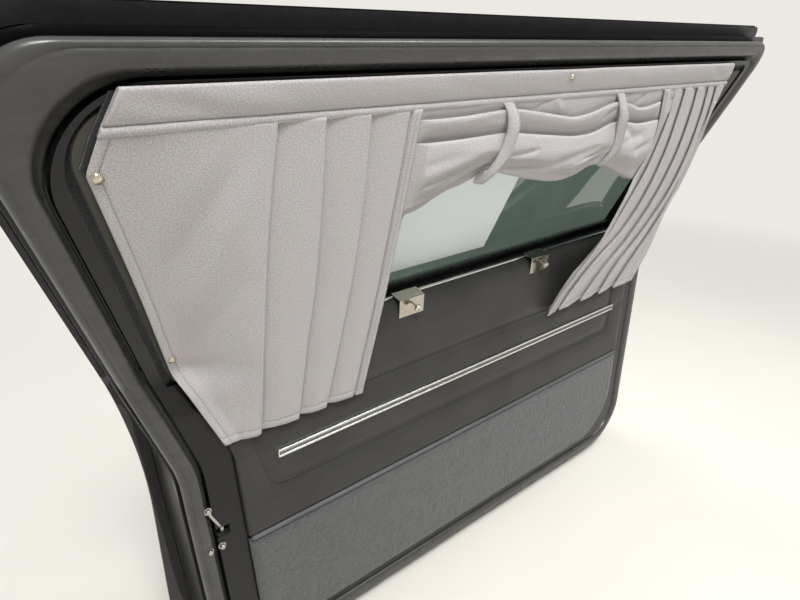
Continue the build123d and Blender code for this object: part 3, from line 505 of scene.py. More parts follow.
def flute_look():
    """Grey ribbed band of the bright strip, its colour darker in the grooves and lighter on the ribs as
    painted shade and highlight.
    """
    look = Look("flute_grey", Metallic=0.3)
    ribs = look.bands(1, "Z", look.where())
    # Colour from the same ribs as the bump: painted shade in the grooves, painted highlight on the tops
    colour = look.ramp(ribs, 0.2, 0.8, [(0.16, 0.16, 0.155), (0.46, 0.46, 0.44)])
    return look.surface(colour, look.span(look.noise(3), 0.3, 0.7, 0.3, 0.45), look.bump(ribs, 0.5, 1))


def glass_look():
    """Green tint with faint smears."""
    look = Look("tinted_glass", Transmission_Weight=1, IOR=1.5, Specular_IOR_Level=0.5)
    tint = look.ramp(look.noise(90, 4, 0.6), 0.3, 0.7, [(0.115, 0.165, 0.145), (0.14, 0.19, 0.168)])
    smear = look.noise(35, 5, 0.7, look.where((1, 1, 0.5)), 0.8)
    return look.surface(tint, look.span(smear, 0.5, 0.8, 0.01, 0.07))


def paper_look():
    look = Look("blank_paper", Roughness=0.85, Specular_IOR_Level=0.3)
    colour = look.ramp(look.noise(2, 4, 0.7), 0.3, 0.7, [(0.87, 0.95, 0.97), (0.92, 0.99, 1)])
    return look.surface(colour, normal=look.bump(look.noise(60, 2), 2, 0.4))


def tape_and_shade_look():
    """Black hook tape; the same black also paints the shade in the frame's groove."""
    look = Look("hook_tape", Roughness=0.95, Sheen_Weight=0.4)
    hooks = look.cells(1.5)
    colour = look.ramp(hooks, 0.1, 0.7, [(0.02, 0.02, 0.022), (0.004, 0.004, 0.004)])
    return look.surface(colour, normal=look.bump(hooks, 0.9, 1))


CLOTH_MATERIAL = cloth_look()
THREAD = thread_look()
VINYL = vinyl_look("black_vinyl", (0.027, 0.0262, 0.0245), (0.041, 0.04, 0.0375), 0.42)
GARNISH = vinyl_look("garnish_vinyl", (0.05, 0.047, 0.038), (0.06, 0.057, 0.047), 0.5, 1.4)
WELT = vinyl_look("welt_vinyl", (0.09, 0.088, 0.092), (0.12, 0.118, 0.122), 0.45, 0.8)
PAINT = paint_look("black_paint", 0.9, 0.2)
FRAME_PAINT = paint_look("frame_paint", 0.32, 0.3)
SEAL = rubber_look("seal_rubber", (0.044, 0.0435, 0.0415), (0.066, 0.064, 0.059), 0.3, (0.3, 0.3, 1))
RUN = rubber_look("run_rubber", (0.012, 0.012, 0.013), (0.025, 0.025, 0.026), 0.5)
BOOT = rubber_look("boot_rubber", (0.1, 0.1, 0.115), (0.17, 0.165, 0.18), 0.5)
CARPET = carpet_look()
CHROME = metal_look("bright_metal", (0.78, 0.78, 0.75), 0.08, (0.05, 1, 1))
NICKEL = metal_look("clip_nickel", (0.5, 0.47, 0.4), 0.1)
NICKEL_BRIGHT = metal_look("screw_nickel", (0.8, 0.77, 0.68), 0.28)
STEEL = metal_look("dull_steel", (0.5, 0.49, 0.46), 0.25)
SNAP = metal_look("snap_metal", (0.66, 0.59, 0.46), 0.2)
FLUTE = flute_look()
GLASS = glass_look()
PAPER = paper_look()
TAPE_AND_SHADE_BLACK = tape_and_shade_look()
HINGE = rubber_look("hinge_steel", (0.02, 0.02, 0.02), (0.05, 0.048, 0.045), 0.45)
PLASTIC = rubber_look("latch_plastic", (0.015, 0.015, 0.015), (0.03, 0.03, 0.03), 0.55)

NODE_LOOKS = {
    PAINT: ["outer_skin"],
    FRAME_PAINT: ["inner_panel", "latch_plate", "window_frame"],
    GARNISH: ["frame_garnish"],
    GLASS: ["window_glass"],
    RUN: ["glass_run_seal", "frame_lip_seal"],
    SEAL: ["belt_seal_inner"],
    CHROME: ["belt_moulding_outer", "sill_bead", "bright_strip", "outer_handle", "lock_cylinder"],
    NICKEL: ["plate_clip_rear", "plate_clip_front"],
    STEEL: ["latch_fork"],
    TAPE_AND_SHADE_BLACK: ["hook_strips"],
    PAPER: ["notice_sheet"],
    PLASTIC: ["latch_body"],
    HINGE: ["hinge_pillar_upper", "hinge_pillar_lower", "hinge_pins", "hinge_door_upper", "hinge_door_lower"],
    BOOT: ["wiring_boot"],
}


def coat(obj, material):
    obj.data.materials.clear()
    obj.data.materials.append(material)


for material, names in NODE_LOOKS.items():
    for name in names:
        coat(cad_nodes[name], material)


def dress(obj, material, replaced=()):
    """Give a piece its look and let it ride on the door."""
    coat(obj, material)
    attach(obj, "door")
    if replaced:
        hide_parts(*replaced)
    return obj


# Drapes

STITCHES = []


def cloth(name, rows, thickness, node):
    """Drape from its rows of points, in place of a node."""
    return dress(thicken(grid_object(name, rows), thickness), CLOTH_MATERIAL, [node])


# Lines of the folds in side elevation, height against x, as they hang
REAR_PLEATS = [
    [(-133, -1217), (101, -1225), (240, -1228), (378, -1225)],
    [(-133, -1146), (24, -1148), (138, -1147), (265, -1153), (378, -1161)],
    [(-133, -1091), (18, -1085), (145, -1082), (267, -1086), (378, -1095)],
    [(-133, -1033), (66, -1028), (167, -1028), (277, -1029), (378, -1032)],
]
FRONT_EDGE = [
    (-133, -476), (-83, -464), (-28, -440), (34, -404), (93, -389), (148, -379), (186, -366), (240, -352),
    (300, -362), (378, -402),
]
FRONT_VALLEY = [
    (-133, -462), (-98, -455), (-51, -436), (-5, -395), (44, -358), (86, -344), (130, -331), (189, -318),
    (240, -318), (324, -330), (378, -352),
]
FRONT_PLEATS = [
    [(-133, -424), (-99, -412), (-20, -362), (43, -300), (129, -268), (234, -268), (312, -288), (378, -311)],
    [(-133, -338), (-112, -330), (-60, -303), (17, -250), (121, -214), (227, -211), (317, -235), (378, -262)],
    [(-133, -262), (-57, -240), (21, -193), (121, -155), (221, -157), (313, -184), (378, -216)],
    [(-133, -196), (-57, -172), (21, -142), (137, -120), (231, -124), (311, -150), (378, -180)],
]
HINGE_EDGE = [
    (-133, -108), (-44, -102), (41, -114), (76, -121), (138, -119), (204, -126), (275, -135), (378, -143),
]

# Soft ridges (minus: valleys) in the cloth: ends in x and z, height, width; a
# SHARP one has a cusp instead of a round top
SHARP = True
REAR_STROKES = [
    (-1238, 345, -1338, 88, 5, 17), (-1262, 350, -1372, 150, -3.6, 16), (-1290, 360, -1392, 210, 3, 20),
    (-1234, 210, -1322, 30, -3, 15), (-1232, 120, -1292, -110, 3.6, 17), (-1330, 28, -1262, -128, 3.2, 10),
    (-1340, 362, -1424, 330, -1.8, 9), (-1380, 366, -1426, 322, 1.6, 7), (-1186, 330, -1196, -100, 1.4, 14),
    (-1116, 250, -1112, -120, 1.6, 13), (-1052, 200, -1060, -120, 1.5, 12),
]
FRONT_STROKES = [
    (-352, 60, -440, -90, 2.5, 9), (-300, 10, -372, -110, 2.2, 10), (-180, 30, -226, -110, 2, 12),
    (-140, 10, -150, -120, -2.2, 9), (-230, 300, -236, 90, 1.5, 9), (-322, 372, -296, 170, -3.2, 5, SHARP),
    (-330, 372, -308, 170, 1.6, 8), (-160, 372, -142, 180, -2.4, 4, SHARP),
]
SWAG_STROKES = [
    (-1004, 259, -846, 300, -4.2, 7, SHARP), (-1000, 262, -880, 262, 2, 8),
    (-1006, 296, -905, 306, -2.2, 9), (-990, 240, -930, 262, -2.4, 6),
    (-812, 292, -742, 296, -4.6, 6, SHARP), (-826, 278, -700, 262, -5, 7), (-700, 262, -560, 282, -3.4, 9),
    (-610, 262, -524, 276, -4, 5, SHARP), (-596, 256, -522, 262, -3.4, 4, SHARP),
    (-640, 246, -545, 268, 2.4, 6), (-576, 334, -540, 352, -3.6, 4, SHARP),
    (-780, 358, -738, 378, -2.6, 4, SHARP), (-730, 378, -700, 352, 1.8, 8),
    (-484, 352, -452, 376, -3, 5, SHARP), (-498, 312, -452, 292, -2.8, 8), (-492, 282, -420, 296, -3, 9),
    (-486, 262, -400, 236, 3.4, 12), (-440, 262, -376, 276, -2.4, 7), (-500, 246, -420, 218, -2.2, 7),
]
HEADER_STROKES = [
    (-1392, 412, -1290, 392, -1.4, 8), (-1330, 416, -1200, 388, 1.1, 12), (-1000, 414, -870, 390, -0.9, 10),
    (-730, 414, -700, 388, -1.3, 10), (-560, 416, -470, 388, 1, 11), (-250, 414, -180, 390, -1.2, 8),
]


def strokes_at(strokes, x, z):
    """Height of the soft ridges at a point."""
    total = 0
    for x0, z0, x1, z1, height, width, *sharp in strokes:
        dx, dz = x1 - x0, z1 - z0
        length = math.hypot(dx, dz)
        t = ((x - x0) * dx + (z - z0) * dz) / length / length
        if -0.1 < t < 1.1:
            d = abs((x - x0) * dz - (z - z0) * dx) / length / width
            if d < 3:
                fade = ease((t + 0.1) / 0.35) * ease((1.1 - t) / 0.35)
                total += height * fade * (math.exp(-d * 1.3) if sharp else math.exp(-d * d))
    return total


def sew(rows, normals, column, last=-1):
    """Stitch down one column of a grid."""
    STITCHES.append([(row[column], line[column]) for row, line in zip(rows[1:last], normals[1:last])])


def header_end(z):
    """Slanted rear end of the header."""
    return rear_x(z) + blend(61, 95, (z - HEADER_LOW) / HEADER_TALL)


def header_cloth():
    """Band along the top: cloth folded over, stitched above its rounded lower edge."""
    profile = [(z, -1.9) for z in (376.5, 384, 396, 408, 417)]
    for turn in (40, 80, 120, 150):
        a = math.radians(turn)
        profile.append((417 + 2.9 * math.sin(a), -4.6 + 2.7 * math.cos(a)))
    profile += [(z, -7.4) for z in (417, 413, 409, 405, 401, 397, 394, 391, 388.9)]
    profile += [(387.4, -6.9), (386.3, -5.6), (385.4, -4.6), (384.6, -4.6), (383.6, -5.9), (382, -8)]
    profile += [(379.5, -9), (377, -9), (375.2, -8.2), (374.4, -6.8), (375, -5.6), (378, -5.2), (386, -5.2)]
    stitch = profile.index((384.6, -4.6))
    corner_z, corner = 408, 12
    rows = []
    for z, y in profile:
        row = []
        high = (z - HEADER_LOW) / HEADER_TALL
        x1 = FRONT_LIP - blend(76, 94, ease(high)) - pulled_in(corner, z - corner_z)
        for x in spread(header_end(z), x1, 260):
            wave = 0
            if y < -4:
                wave = 0.8 * ripple(x, z, 3.1, 90, 60) + 0.5 * ripple(x, z, 5.7, 24, 14)
                wave -= strokes_at(HEADER_STROKES, x, z)
                wave += 0.35 * ripple(x, z, 11, 7, 20) * bell(z, 386, 7)
            lift = 0.8 * ripple(x, 0, 8.2, 160, 50) * high + 0.5 * ripple(x, 3, 4.4, 40, 50) * bell(z, 375, 6)
            puff = -1.3 * arch(min(max((z - 387) / 31, 0), 1)) if y < -5 else 0
            row.append((x, face_y(z) + y + wave + puff, z + lift))
        rows.append(row)
    rows.reverse()
    normals = normals_of(rows)
    line = len(rows) - 1 - stitch
    STITCHES.append(list(zip(rows[line], normals[line]))[2:-2])
    return cloth("drape_header_cloth", rows, HEADER_THICK, "drape_header")


def pleat_fold(x, ridge, deep, tuck):
    """Points of a knife pleat: round its edge, back under it and out again."""
    first = deep * 0.38
    turn = first / 2
    under = deep - first
    points = [(-1.6, -0.15), (-0.3, 0), (turn * 0.7, turn * 0.35), (turn, turn), (turn * 0.6, first * 0.86)]
    points += [(-0.8, first), (-tuck * 0.5, first * 1.02), (-tuck, first * 1.1)]
    points += [(-tuck - under * 0.35, first + under * 0.5), (-tuck, deep - 0.1), (-tuck * 0.5, deep)]
    return shifted([*points, (-1, deep), (2, deep * 0.98)], x, ridge)


def mirrored_fold(x, ridge, deep, tuck):
    """The same fold with its round edge on the other side."""
    return [(2 * x - px, y) for px, y in reversed(pleat_fold(x, ridge, deep, tuck))]


def panel_heights():
    """Heights of a panel's rows, closer together at the stitched line."""
    count = round((PANEL_TOP - HEM_Z) / 6)
    values = [z for z in spread(PANEL_TOP, HEM_Z, count) if abs(z - STITCH_Z) > 3.2]
    return sorted(values + [STITCH_Z + d for d in (2.6, 1.2, 0, -1.2, -2.6)], reverse=True)


PANEL_HEIGHTS = panel_heights()
HEM_ROWS, HEM_BACK = 6, 1.5


def hung_panel(name, node, plan, seams):
    """Panel from its rows of (x, y): stitched down its seams, with its hem turned up."""
    rows = []
    for z, points in zip(PANEL_HEIGHTS, plan):
        sink = 1.1 * bell(z, STITCH_Z, 1.3)
        rows.append([(x, y + sink, z) for x, y in points])
    normals = normals_of(rows)
    for column in seams:
        sew(rows, normals, column)
    line = PANEL_HEIGHTS.index(STITCH_Z)
    visible = range(5, len(rows[0]) - 4)
    STITCHES.append([(rows[line][k], normals[line][k]) for k in visible if normals[line][k].y < -0.3])
    fold = Vector((0, 0, -0.5))
    hem = [[tuple(Vector(p) - n * HEM_BACK * 0.5 + fold) for p, n in zip(rows[-1], normals[-1])]]
    for i in range(2, 2 + HEM_ROWS):
        hem.append([tuple(Vector(p) - n * HEM_BACK) for p, n in zip(rows[-i], normals[-i])])
    return cloth(name, rows + hem, CLOTH_THICK, node)


# Hemmed edges of the two panels: x and depth from the edge itself
REAR_HEM = [(12, 1.7), (5, 1.6), (1, 1.4), (0, 0.7), (0.8, 0), (3, -0.7), (6, -0.7), (9, -0.7), (10.6, -0.3)]
REAR_HEM += [(11.4, 0.5), (12, 0.8), (12.6, 0.5), (13.5, -0.1), (17, -0.3), (22, -0.4)]
FRONT_HEM = [(4, 2.1), (1, 1.4), (0, 0.6), (0.8, -0.2), (3, -0.7), (5.5, -0.4), (6.6, 0.3), (7.4, 0.5)]
FRONT_HEM += [(8.2, 0.3), (10, -0.5), (12.5, -0.4), (13.6, 0.4), (14.6, 0.5)]


def rear_cloth():
    """Rear panel: flat along the frame, four knife pleats, and the double welt at the swag."""
    edge_y = [(HEM_Z, -12), (-60, -12.2), (-20, -12), (12, 3)]
    edge_y += [(z, face_y(z) - (7 + 8 * (CORNER_Z - z) / (CORNER_Z - 12))) for z in (40, 120, 220, CORNER_Z)]
    inside = [(HEM_Z, 46), (-20, 34), (12, 31), (180, 36), (CORNER_Z, 37)]
    plan = []
    for z in PANEL_HEIGHTS:
        share = low_share(z)
        deep = blend(6, 16, share)
        ridge = hang_y(z) + 1 - deep * 0.55
        if z < CORNER_Z:
            x0, y0 = rear_x(z) + along(inside, z), along(edge_y, z)
        else:
            high = (z - CORNER_Z) / (CLOTH_TOP - CORNER_Z)
            x0, y0 = rear_x(z) + blend(37, 61, high), face_y(z) - blend(7, 7.4, high)
        row = shifted(REAR_HEM, x0, y0)
        xs = [along(line, z) for line in REAR_PLEATS]
        for t in steps(34):
            x = blend(x0 + 26, xs[0], t)
            y = blend(y0, ridge, t * 0.55 + ease(t) * 0.45)
            fade = min(1, 3.2 * t, 5 * (1 - t))
            wave = 2.4 * ripple(x + 0.42 * z, z, 1.3, 70, 420) + ripple(x + 0.42 * z, z, 4.6, 30, 150)
            wave += strokes_at(REAR_STROKES, x, z) + 0.35 * ripple(x, z, 9.9, 13, 17)
            row.append((x, y - fade * (wave * (0.5 + 0.7 * share) + 2.5 * share)))
        row += pleat_fold(xs[0], ridge, deep, 14)
        for k, (x, after) in enumerate(zip(xs, xs[1:])):
            for t in steps(15):
                px = blend(x + 2.5, after - 1.8, t)
                crown = 1.3 * arch(t) * (0.3 + share)
                wave = 1.6 * ripple(px, z, 2.2 + k, 34, 190) * (0.3 + share)
                wave += 0.3 * ripple(px, z, 7 + k, 12, 15) + strokes_at(REAR_STROKES, px, z) * share
                y = blend(ridge + deep, ridge, 1 - (1 - t) ** 1.8) - crown
                row.append((px, y - wave * arch(t)))
            row += pleat_fold(after, ridge, deep, 14)
        end_x = xs[-1] + 22
        for t in steps(17):
            welt = 1.7 * abs(arch(2 * t)) ** 0.5
            row.append((blend(xs[-1] + 2.5, end_x, t), blend(ridge + deep, ridge, ease(t * 3.4)) - welt))
        plan.append(row + shifted([(0, 0.4), (0.4, 1.4), (-0.5, 2.4), (-8, 2.8)], end_x, ridge))
    return hung_panel("drape_rear_cloth", "drape_rear", plan, (10, -13, -6))


def front_cloth():
    """Front panel: a curling hemmed edge tied back to the hinges, then narrow pleats."""
    plan = []
    for z in PANEL_HEIGHTS:
        share = low_share(z)
        deep = blend(5, 10, min(share * 1.6, 1))
        ridge = hang_y(z) + 1 - deep * 0.55
        x0, x1 = along(FRONT_EDGE, z), along(HINGE_EDGE, z)
        xs = [max(along(FRONT_VALLEY, z), x0 + 22), *(along(line, z) for line in FRONT_PLEATS), x1]
        loose = ease((205 - z) / 60)
        curl = 10 * loose * (1 - 0.6 * ease((-20 - z) / 110))
        edge_y = blend(hang_y(z) - 5.5, ridge, loose) - curl
        row = [(x0 + 11, edge_y + 2.6 + curl * 0.4), *shifted(FRONT_HEM, x0, edge_y)]
        begin_x, begin_y = x0 + 15.6, edge_y
        for k, x in enumerate(xs):
            last = k + 1 == len(xs)
            for t in steps(13):
                px = blend(begin_x, x if last else x - 2.6, t)
                y = blend(begin_y, ridge + (2 if last else deep), t ** (1.6 if k else 1.1))
                if k:
                    wave = 1.4 * ripple(px, z, 6.2 + k, 24, 170) * (0.3 + share)
                    y -= (1.6 + wave + strokes_at(FRONT_STROKES, px, z)) * arch(t)
                row.append((px, y))
            if not last:
                row += mirrored_fold(x, ridge, deep, min(11, xs[k + 1] - x - 6))
                begin_x, begin_y = x + 1.8, ridge
        plan.append(row + shifted([(0, 1.4), (0.4, 2.3), (-0.6, 3.2), (-7, 3.8)], x1, ridge))
    return hung_panel("drape_front_cloth", "drape_front", plan, (8, 13))


# The swag's two pocket folds and its lower edge, x against height; how far the
# cloth behind that edge droops; and where the straps pinch, with the width
SWAG_UPPER = [
    (-1014, 362), (-934, 362), (-848, 366), (-818, 365), (-754, 356), (-697, 347), (-662, 343), (-614, 348),
    (-557, 361), (-509, 357), (-470, 347), (-440, 347), (-393, 354), (-340, 356),
]
SWAG_LOWER = [
    (-1014, 330), (-943, 329), (-838, 330), (-809, 328), (-736, 319), (-643, 309), (-590, 311), (-537, 324),
    (-494, 322), (-450, 316), (-382, 318), (-330, 320),
]
SWAG_EDGE = [
    (-1014, 224), (-968, 240), (-933, 257), (-895, 272), (-850, 284), (-820, 268), (-765, 252), (-717, 240),
    (-643, 228), (-592, 233), (-551, 246), (-514, 243), (-484, 235), (-422, 212), (-362, 192), (-330, 190),
]
SWAG_DROOP = [
    (-1014, 6), (-973, 15), (-921, 17), (-862, 22), (-838, 4), (-760, 0), (-560, 1), (-500, 2), (-330, 3),
]
STRAP_PINCH = [(-838, 34), (-528, 30)]
SWAG_ENDS, SWAG_TOP = (-1014, -334), 378

# A pocket fold: height and stand, each as a fixed part and one that grows with
# the fold, and how much it wrinkles; and the turned-under edge: share of the
# droop, drop and stand
POCKET = [
    (3.8, 0, 0.5, 0, 0.6), (0.6, 0, -0.2, 0, 0.3), (0, -3.6, -0.4, 0, 0), (0, -6.4, 0, 0.6, 0),
    (0, -6, 0, 2.2, 0), (0, -3, 0, 3.6, 0), (0, -0.6, 0, 5, 0), (0.5, 0, 0, 6.8, 0),
    (0.2, 0, 0, 8.6, 0.1), (-1.4, 0, 0, 10.2, 0.3), (-4, 0, 0, 11.4, 0.6),
]
TURNED_EDGE = [
    (0, 1.8, 4), (0, 1.6, 1.6), (0, -3, -0.6), (0, -11, -1.6), (0, -13, -3.2), (0, -9, -4.6),
    (0.4, 0, -5.2), (1, 0, -5), (1, 1, -5.8), (1, -3, -6.4),
]


def swag_column(x):
    """Line down the swag at one place: two pocket folds, then the full roll and its turned-under edge."""
    pinch = max(bell(x, place, width) for place, width in STRAP_PINCH)
    upper, lower, edge = along(SWAG_UPPER, x), along(SWAG_LOWER, x), along(SWAG_EDGE, x)
    column = []

    def ends_at(z):
        """0 where the swag is caught behind the edges of the panels, 1 between them."""
        return ease((x + 1016) / 24) * ease((along(FRONT_EDGE, z) + 5 - x) / 20)

    def full_at(z):
        return (0.25 + 0.75 * ends_at(z)) * (1 - 0.34 * pinch)

    def add(z, out, soft=1):
        pull = ripple(x + 0.6 * z, z, 7.7, 34, 11) * (0.25 + 1.2 * pinch) + 0.5 * ripple(x, z, 9.1, 52, 30)
        out += soft * (1.35 * strokes_at(SWAG_STROKES, x, z) - pull)
        share = ends_at(z)
        column.append((x, hang_y(z) + 1.2 - out * share - min(out, 2) * (1 - share), z))

    def pocket(z, behind_it, rise):
        """Cloth runs down behind a fold, turns, and comes up over its bright round top."""
        size = full_at(z) * rise
        for up, grown_up, out, grown_out, soft in POCKET:
            add(z + up + grown_up * size, behind_it + out + grown_out * size, soft)
        return z - 4, behind_it + 11.4 * size

    for t in (0, *steps(6)):
        add(blend(SWAG_TOP, upper + 6, t), blend(1.6, 1.4, t) + 0.8 * arch(t))
    z0, out0 = pocket(upper, 0.4, 0.9)
    for t in steps(9):
        add(blend(z0, lower + 6, t), blend(out0, 1.8, t**1.2) + 1.2 * arch(t))
    z0, out0 = pocket(lower, 0.8, 1.1)
    full = full_at(edge + 30)
    for t in steps(27):
        belly = 6.5 * full * arch(min(t * 1.15, 1)) + 3 * full * arch(t) ** 2
        add(blend(z0, edge, t), blend(out0, 6, t) + belly)
    down = along(SWAG_DROOP, x)
    for share, drop, out in TURNED_EDGE:
        add(edge - down * share - drop, out, 0)
    return column


def swag_cloth():
    """Swag: pocket folds between the straps, its lower edge turned under."""
    columns = [swag_column(x) for x in spread(*SWAG_ENDS, 260)]
    return cloth("drape_swag_cloth", list(zip(*columns)), CLOTH_THICK, "drape_swag")


# Straps from the header to the loose end: middle, height, stand, half width, twist
STRAP_REAR_LINE = [
    (-844, 380, 1.5, 12.2, 0), (-840, 374, 4, 12.2, 0), (-835, 366, 8.5, 12, 0.5),
    (-830, 353, 14.5, 11.4, 1.6), (-828, 337, 18.5, 10.4, 3), (-829, 320, 18.5, 9.2, 3.9),
    (-832, 302, 19, 9.2, 3.3), (-840, 284, 19.5, 8.9, 2.8), (-852, 266, 16, 8.1, 2.8),
    (-859, 255, 10.5, 7.8, 2.2), (-859, 249, 4, 7.4, 1.7), (-855, 252, -3, 7, 1.1), (-848, 264, -7.5, 7, 0),
    (-842, 280, -7.5, 7, 0),
]
STRAP_FRONT_LINE = [
    (-548, 380, 1.5, 12.2, 0), (-544, 374, 4, 12.2, 0), (-539, 365, 8.5, 12, 0.5),
    (-533, 350, 14.5, 11.4, 1.6), (-527, 334, 18.5, 10.4, 3), (-522, 316, 18.5, 8.9, 4.4),
    (-514, 297, 19, 8.5, 3.3), (-510, 279, 19, 8.1, 2.8), (-513, 260, 16, 7.8, 2.2),
    (-518, 246, 10.5, 7.4, 1.7), (-520, 238, 4, 7, 1.1), (-517, 239, -3, 7, 0), (-513, 250, -7.5, 7, 0),
    (-510, 266, -7.5, 7, 0),
]


def strap_cloth(name, line):
    """Loop of doubled cloth from the header, round the gathered folds."""
    rows = []
    for x, z, out, half, twist in line:
        row = []
        for t in spread(-1, 1, 12):
            cup = 0.8 * t * t
            hem = 0.7 * bell(abs(t), 0.78, 0.06) - 0.7 * bell(abs(t), 0.93, 0.08)
            row.append((x + half * t, hang_y(z) - out + cup + hem - twist * t, z - 1.5 * t))
        rows.append(row)
    normals = normals_of(rows)
    for column in (1, 11):
        sew(rows, normals, column, 10)
    obj = grid_object(name, rows)
    smooth = obj.modifiers.new("smooth", "SUBSURF")
    smooth.levels = smooth.render_levels = 2
    apply_modifiers(obj)
    thicken(obj, STRAP_THICK)
    return dress(obj, CLOTH_MATERIAL, ["swag_straps"])


def tape_with_painted_shadow():
    """Hook tape beside the slanted end of the header, drawn as a black strip that also paints the shadow of
    the cloth's edge on the frame.
    """
    below = [(CORNER_Z, -1425.4), (HEADER_LOW, -1412.5)]
    rows = []
    for x_shift, rise in ((0, 0.9), (0, -0.9), (2, -1.5), (8, -1.5), (13, -1.2), (13, 0.9)):
        column = []
        for z in spread(417, 344, 14):
            end_x = header_end(z) if z > HEADER_LOW else along(below, z)
            column.append((end_x - 5.5 + x_shift + 0.5 * ripple(0, z, 3.3, 9, 9), face_y(z) + rise, z))
        rows.append(column)
    return dress(grid_object("tape_and_painted_shadow_edge", rows, ring=True), TAPE_AND_SHADE_BLACK)


header = header_cloth()
rear = rear_cloth()
front = front_cloth()
swag = swag_cloth()
strap_rear = strap_cloth("strap_rear", STRAP_REAR_LINE)
strap_front = strap_cloth("strap_front", STRAP_FRONT_LINE)
stitching = joined("drape_stitching", [part for path in STITCHES for part in thread(path)])
dress(stitching, THREAD)
tape_with_painted_shadow()


# Outlines of the door

def grown(corners, distances):
    """Corners of a polygon whose edges have moved outwards, each by its own distance."""
    lines = []
    for (x0, z0), (x1, z1), distance in zip(corners, followers(corners), distances):
        length = math.hypot(x1 - x0, z1 - z0)
        nx, nz = (z1 - z0) / length, (x0 - x1) / length
        lines.append((nx, nz, nx * x0 + nz * z0 + distance))
    moved = []
    for (a0, b0, c0), (a1, b1, c1) in zip(lines[-1:] + lines, lines):
        det = a0 * b1 - a1 * b0
        moved.append(((c0 * b1 - c1 * b0) / det, (a0 * c1 - a1 * c0) / det))
    return moved


def outline(corners, radii, step):
    """Points round a polygon with rounded corners, the same number for any that is alike."""
    arc = 16
    arcs = []
    corners = [Vector(corner) for corner in corners]
    for before, corner, after, radius in zip(corners[-1:] + corners, corners, followers(corners), radii):
        into, out = (corner - before).normalized(), (after - corner).normalized()
        turn = math.atan2(into.x * out.y - into.y * out.x, into.dot(out))
        reach = radius if turn > 0 else -radius
        normal = Vector((into.y, -into.x))
        centre = corner - into * radius * math.tan(abs(turn) / 2) - normal * reach
        points = []
        for k in range(arc + 1):
            c, s = math.cos(turn * k / arc), math.sin(turn * k / arc)
            points.append(centre + Vector((normal.x * c - normal.y * s, normal.x * s + normal.y * c)) * reach)
        arcs.append(points)
    result = []
    for points, after, a, b in zip(arcs, followers(arcs), LIP, followers(LIP)):
        spans = max(int(math.dist(a, b) / step), 2)
        result += points + [points[-1].lerp(after[0], t) for t in steps(spans)]
    return result


def swept(name, inner, outer, section, wobble=0, above=None):
    """Sweep between two outlines, all round or above a height: share from inner to outer, depth."""
    rows = []
    for a, b in zip(inner, outer):
        if above is None or a.y >= above:
            row = []
            for share, depth in section:
                x, z = a.lerp(b, share)
                row.append((x, inner_y(z) + depth + wobble * ripple(x, z, 2, 60, 60), z))
            rows.append(row)
    return grid_object(name, rows, ring=above is None, across=above is None)


# Edge seal: its span outside the lip and its outer radii, then its section and
# that of the black strip painted as shade in the groove, as distance or share outwards against depth
SEAL_IN, SEAL_OUT = 3, 38
SEAL_RADII = [126, 60, 72, 236, 96]
SEAL_SECTION = [
    (3, 22), (3, 11.5), (4.4, 10), (7.6, 9.6), (8.2, 5), (9.6, 0.8), (12.2, -2.2), (16, -3.7), (21, -4),
    (25, -3.9), (27.2, -3.5), (28.2, -2), (29, -1.5), (29.8, -2.1), (31, -2.6), (33.6, -1.4), (36, 2.2),
    (37.6, 7), (38, 12), (37.2, 17), (34.5, 22),
]
GROOVE_SHADE_SECTION = [(0, 3), (0.02, 8.5), (0.2, 9.6), (0.5, 9.75), (0.8, 9.6), (0.96, 8.5), (0.97, 3.5)]

seal_section = [((far - SEAL_IN) / (SEAL_OUT - SEAL_IN), depth) for far, depth in SEAL_SECTION]
seal_inner = outline(grown(LIP, [SEAL_IN] * 5), [r + 1 for r in LIP_RADII], 12)
seal_outer = outline(grown(LIP, [SEAL_OUT] * 5), SEAL_RADII, 12)
seal = swept("weatherstrip_bulb", seal_inner, seal_outer, seal_section, 0.6)
dress(seal, SEAL, ["door_weatherstrip"])

# Black strip in the groove between the frame and its garnish: painted shade where
# the step down to the garnish lies in shadow
ledge = grown(LIP, [-17, -9, -17, -17, -17])
groove_shade_outer = outline(ledge, [12, 15, 74, 217, 12], 20)
groove_shade_inner = outline(grown(ledge, [-12] * 5), [2, 5, 50, 229, 2], 20)
groove_shade = swept("groove_painted_shade", groove_shade_inner, groove_shade_outer, GROOVE_SHADE_SECTION, above=-8)
dress(groove_shade, TAPE_AND_SHADE_BLACK)


# Trim card, carpet and strip: the card's front end, the corners of its pressed
# border, the strip's ends and height, and the welt's height

CARD_X1 = -106
EMBOSS = [(-1232, -129), (-1196, -272), (-172, -272), (-172, -129)]
STRIP_X, STRIP_Z = (BELT_REAR + 182, FRONT_LIP - 103), -199
WELT_Z = -357


def card_x0(z):
    return rear_x(z) + 52


def inside_distance(corners, x, z):
    """Distance inside a convex outline, rounded where edges meet."""
    soft = 10
    total = 0
    for (x0, z0), (x1, z1) in zip(corners, followers(corners)):
        d = ((z1 - z0) * (x0 - x) - (x1 - x0) * (z0 - z)) / math.hypot(x1 - x0, z1 - z0)
        total += math.exp(-min(max(d, -200), 200) / soft)
    return -soft * math.log(total)


def card_relief(x, z):
    """How far the padded card lies behind its flat face."""
    d = inside_distance(EMBOSS, x, z)
    away = 1 - bell(z, STRIP_Z, 13)
    border = 4.4 * bell(d, 1, 3.2) + 2.4 * bell(d, 10, 2.8)
    puff = -3 * ease((d - 8) / 24) - 2.4 * ease((-d - 4) / 20)
    wave = 0.7 * ripple(x, z, 15, 150, 60) + 0.3 * ripple(x, z, 17, 40, 30)
    return border + (puff + wave) * away * 0.9 + 0.6 * bell(z, -20, 16)


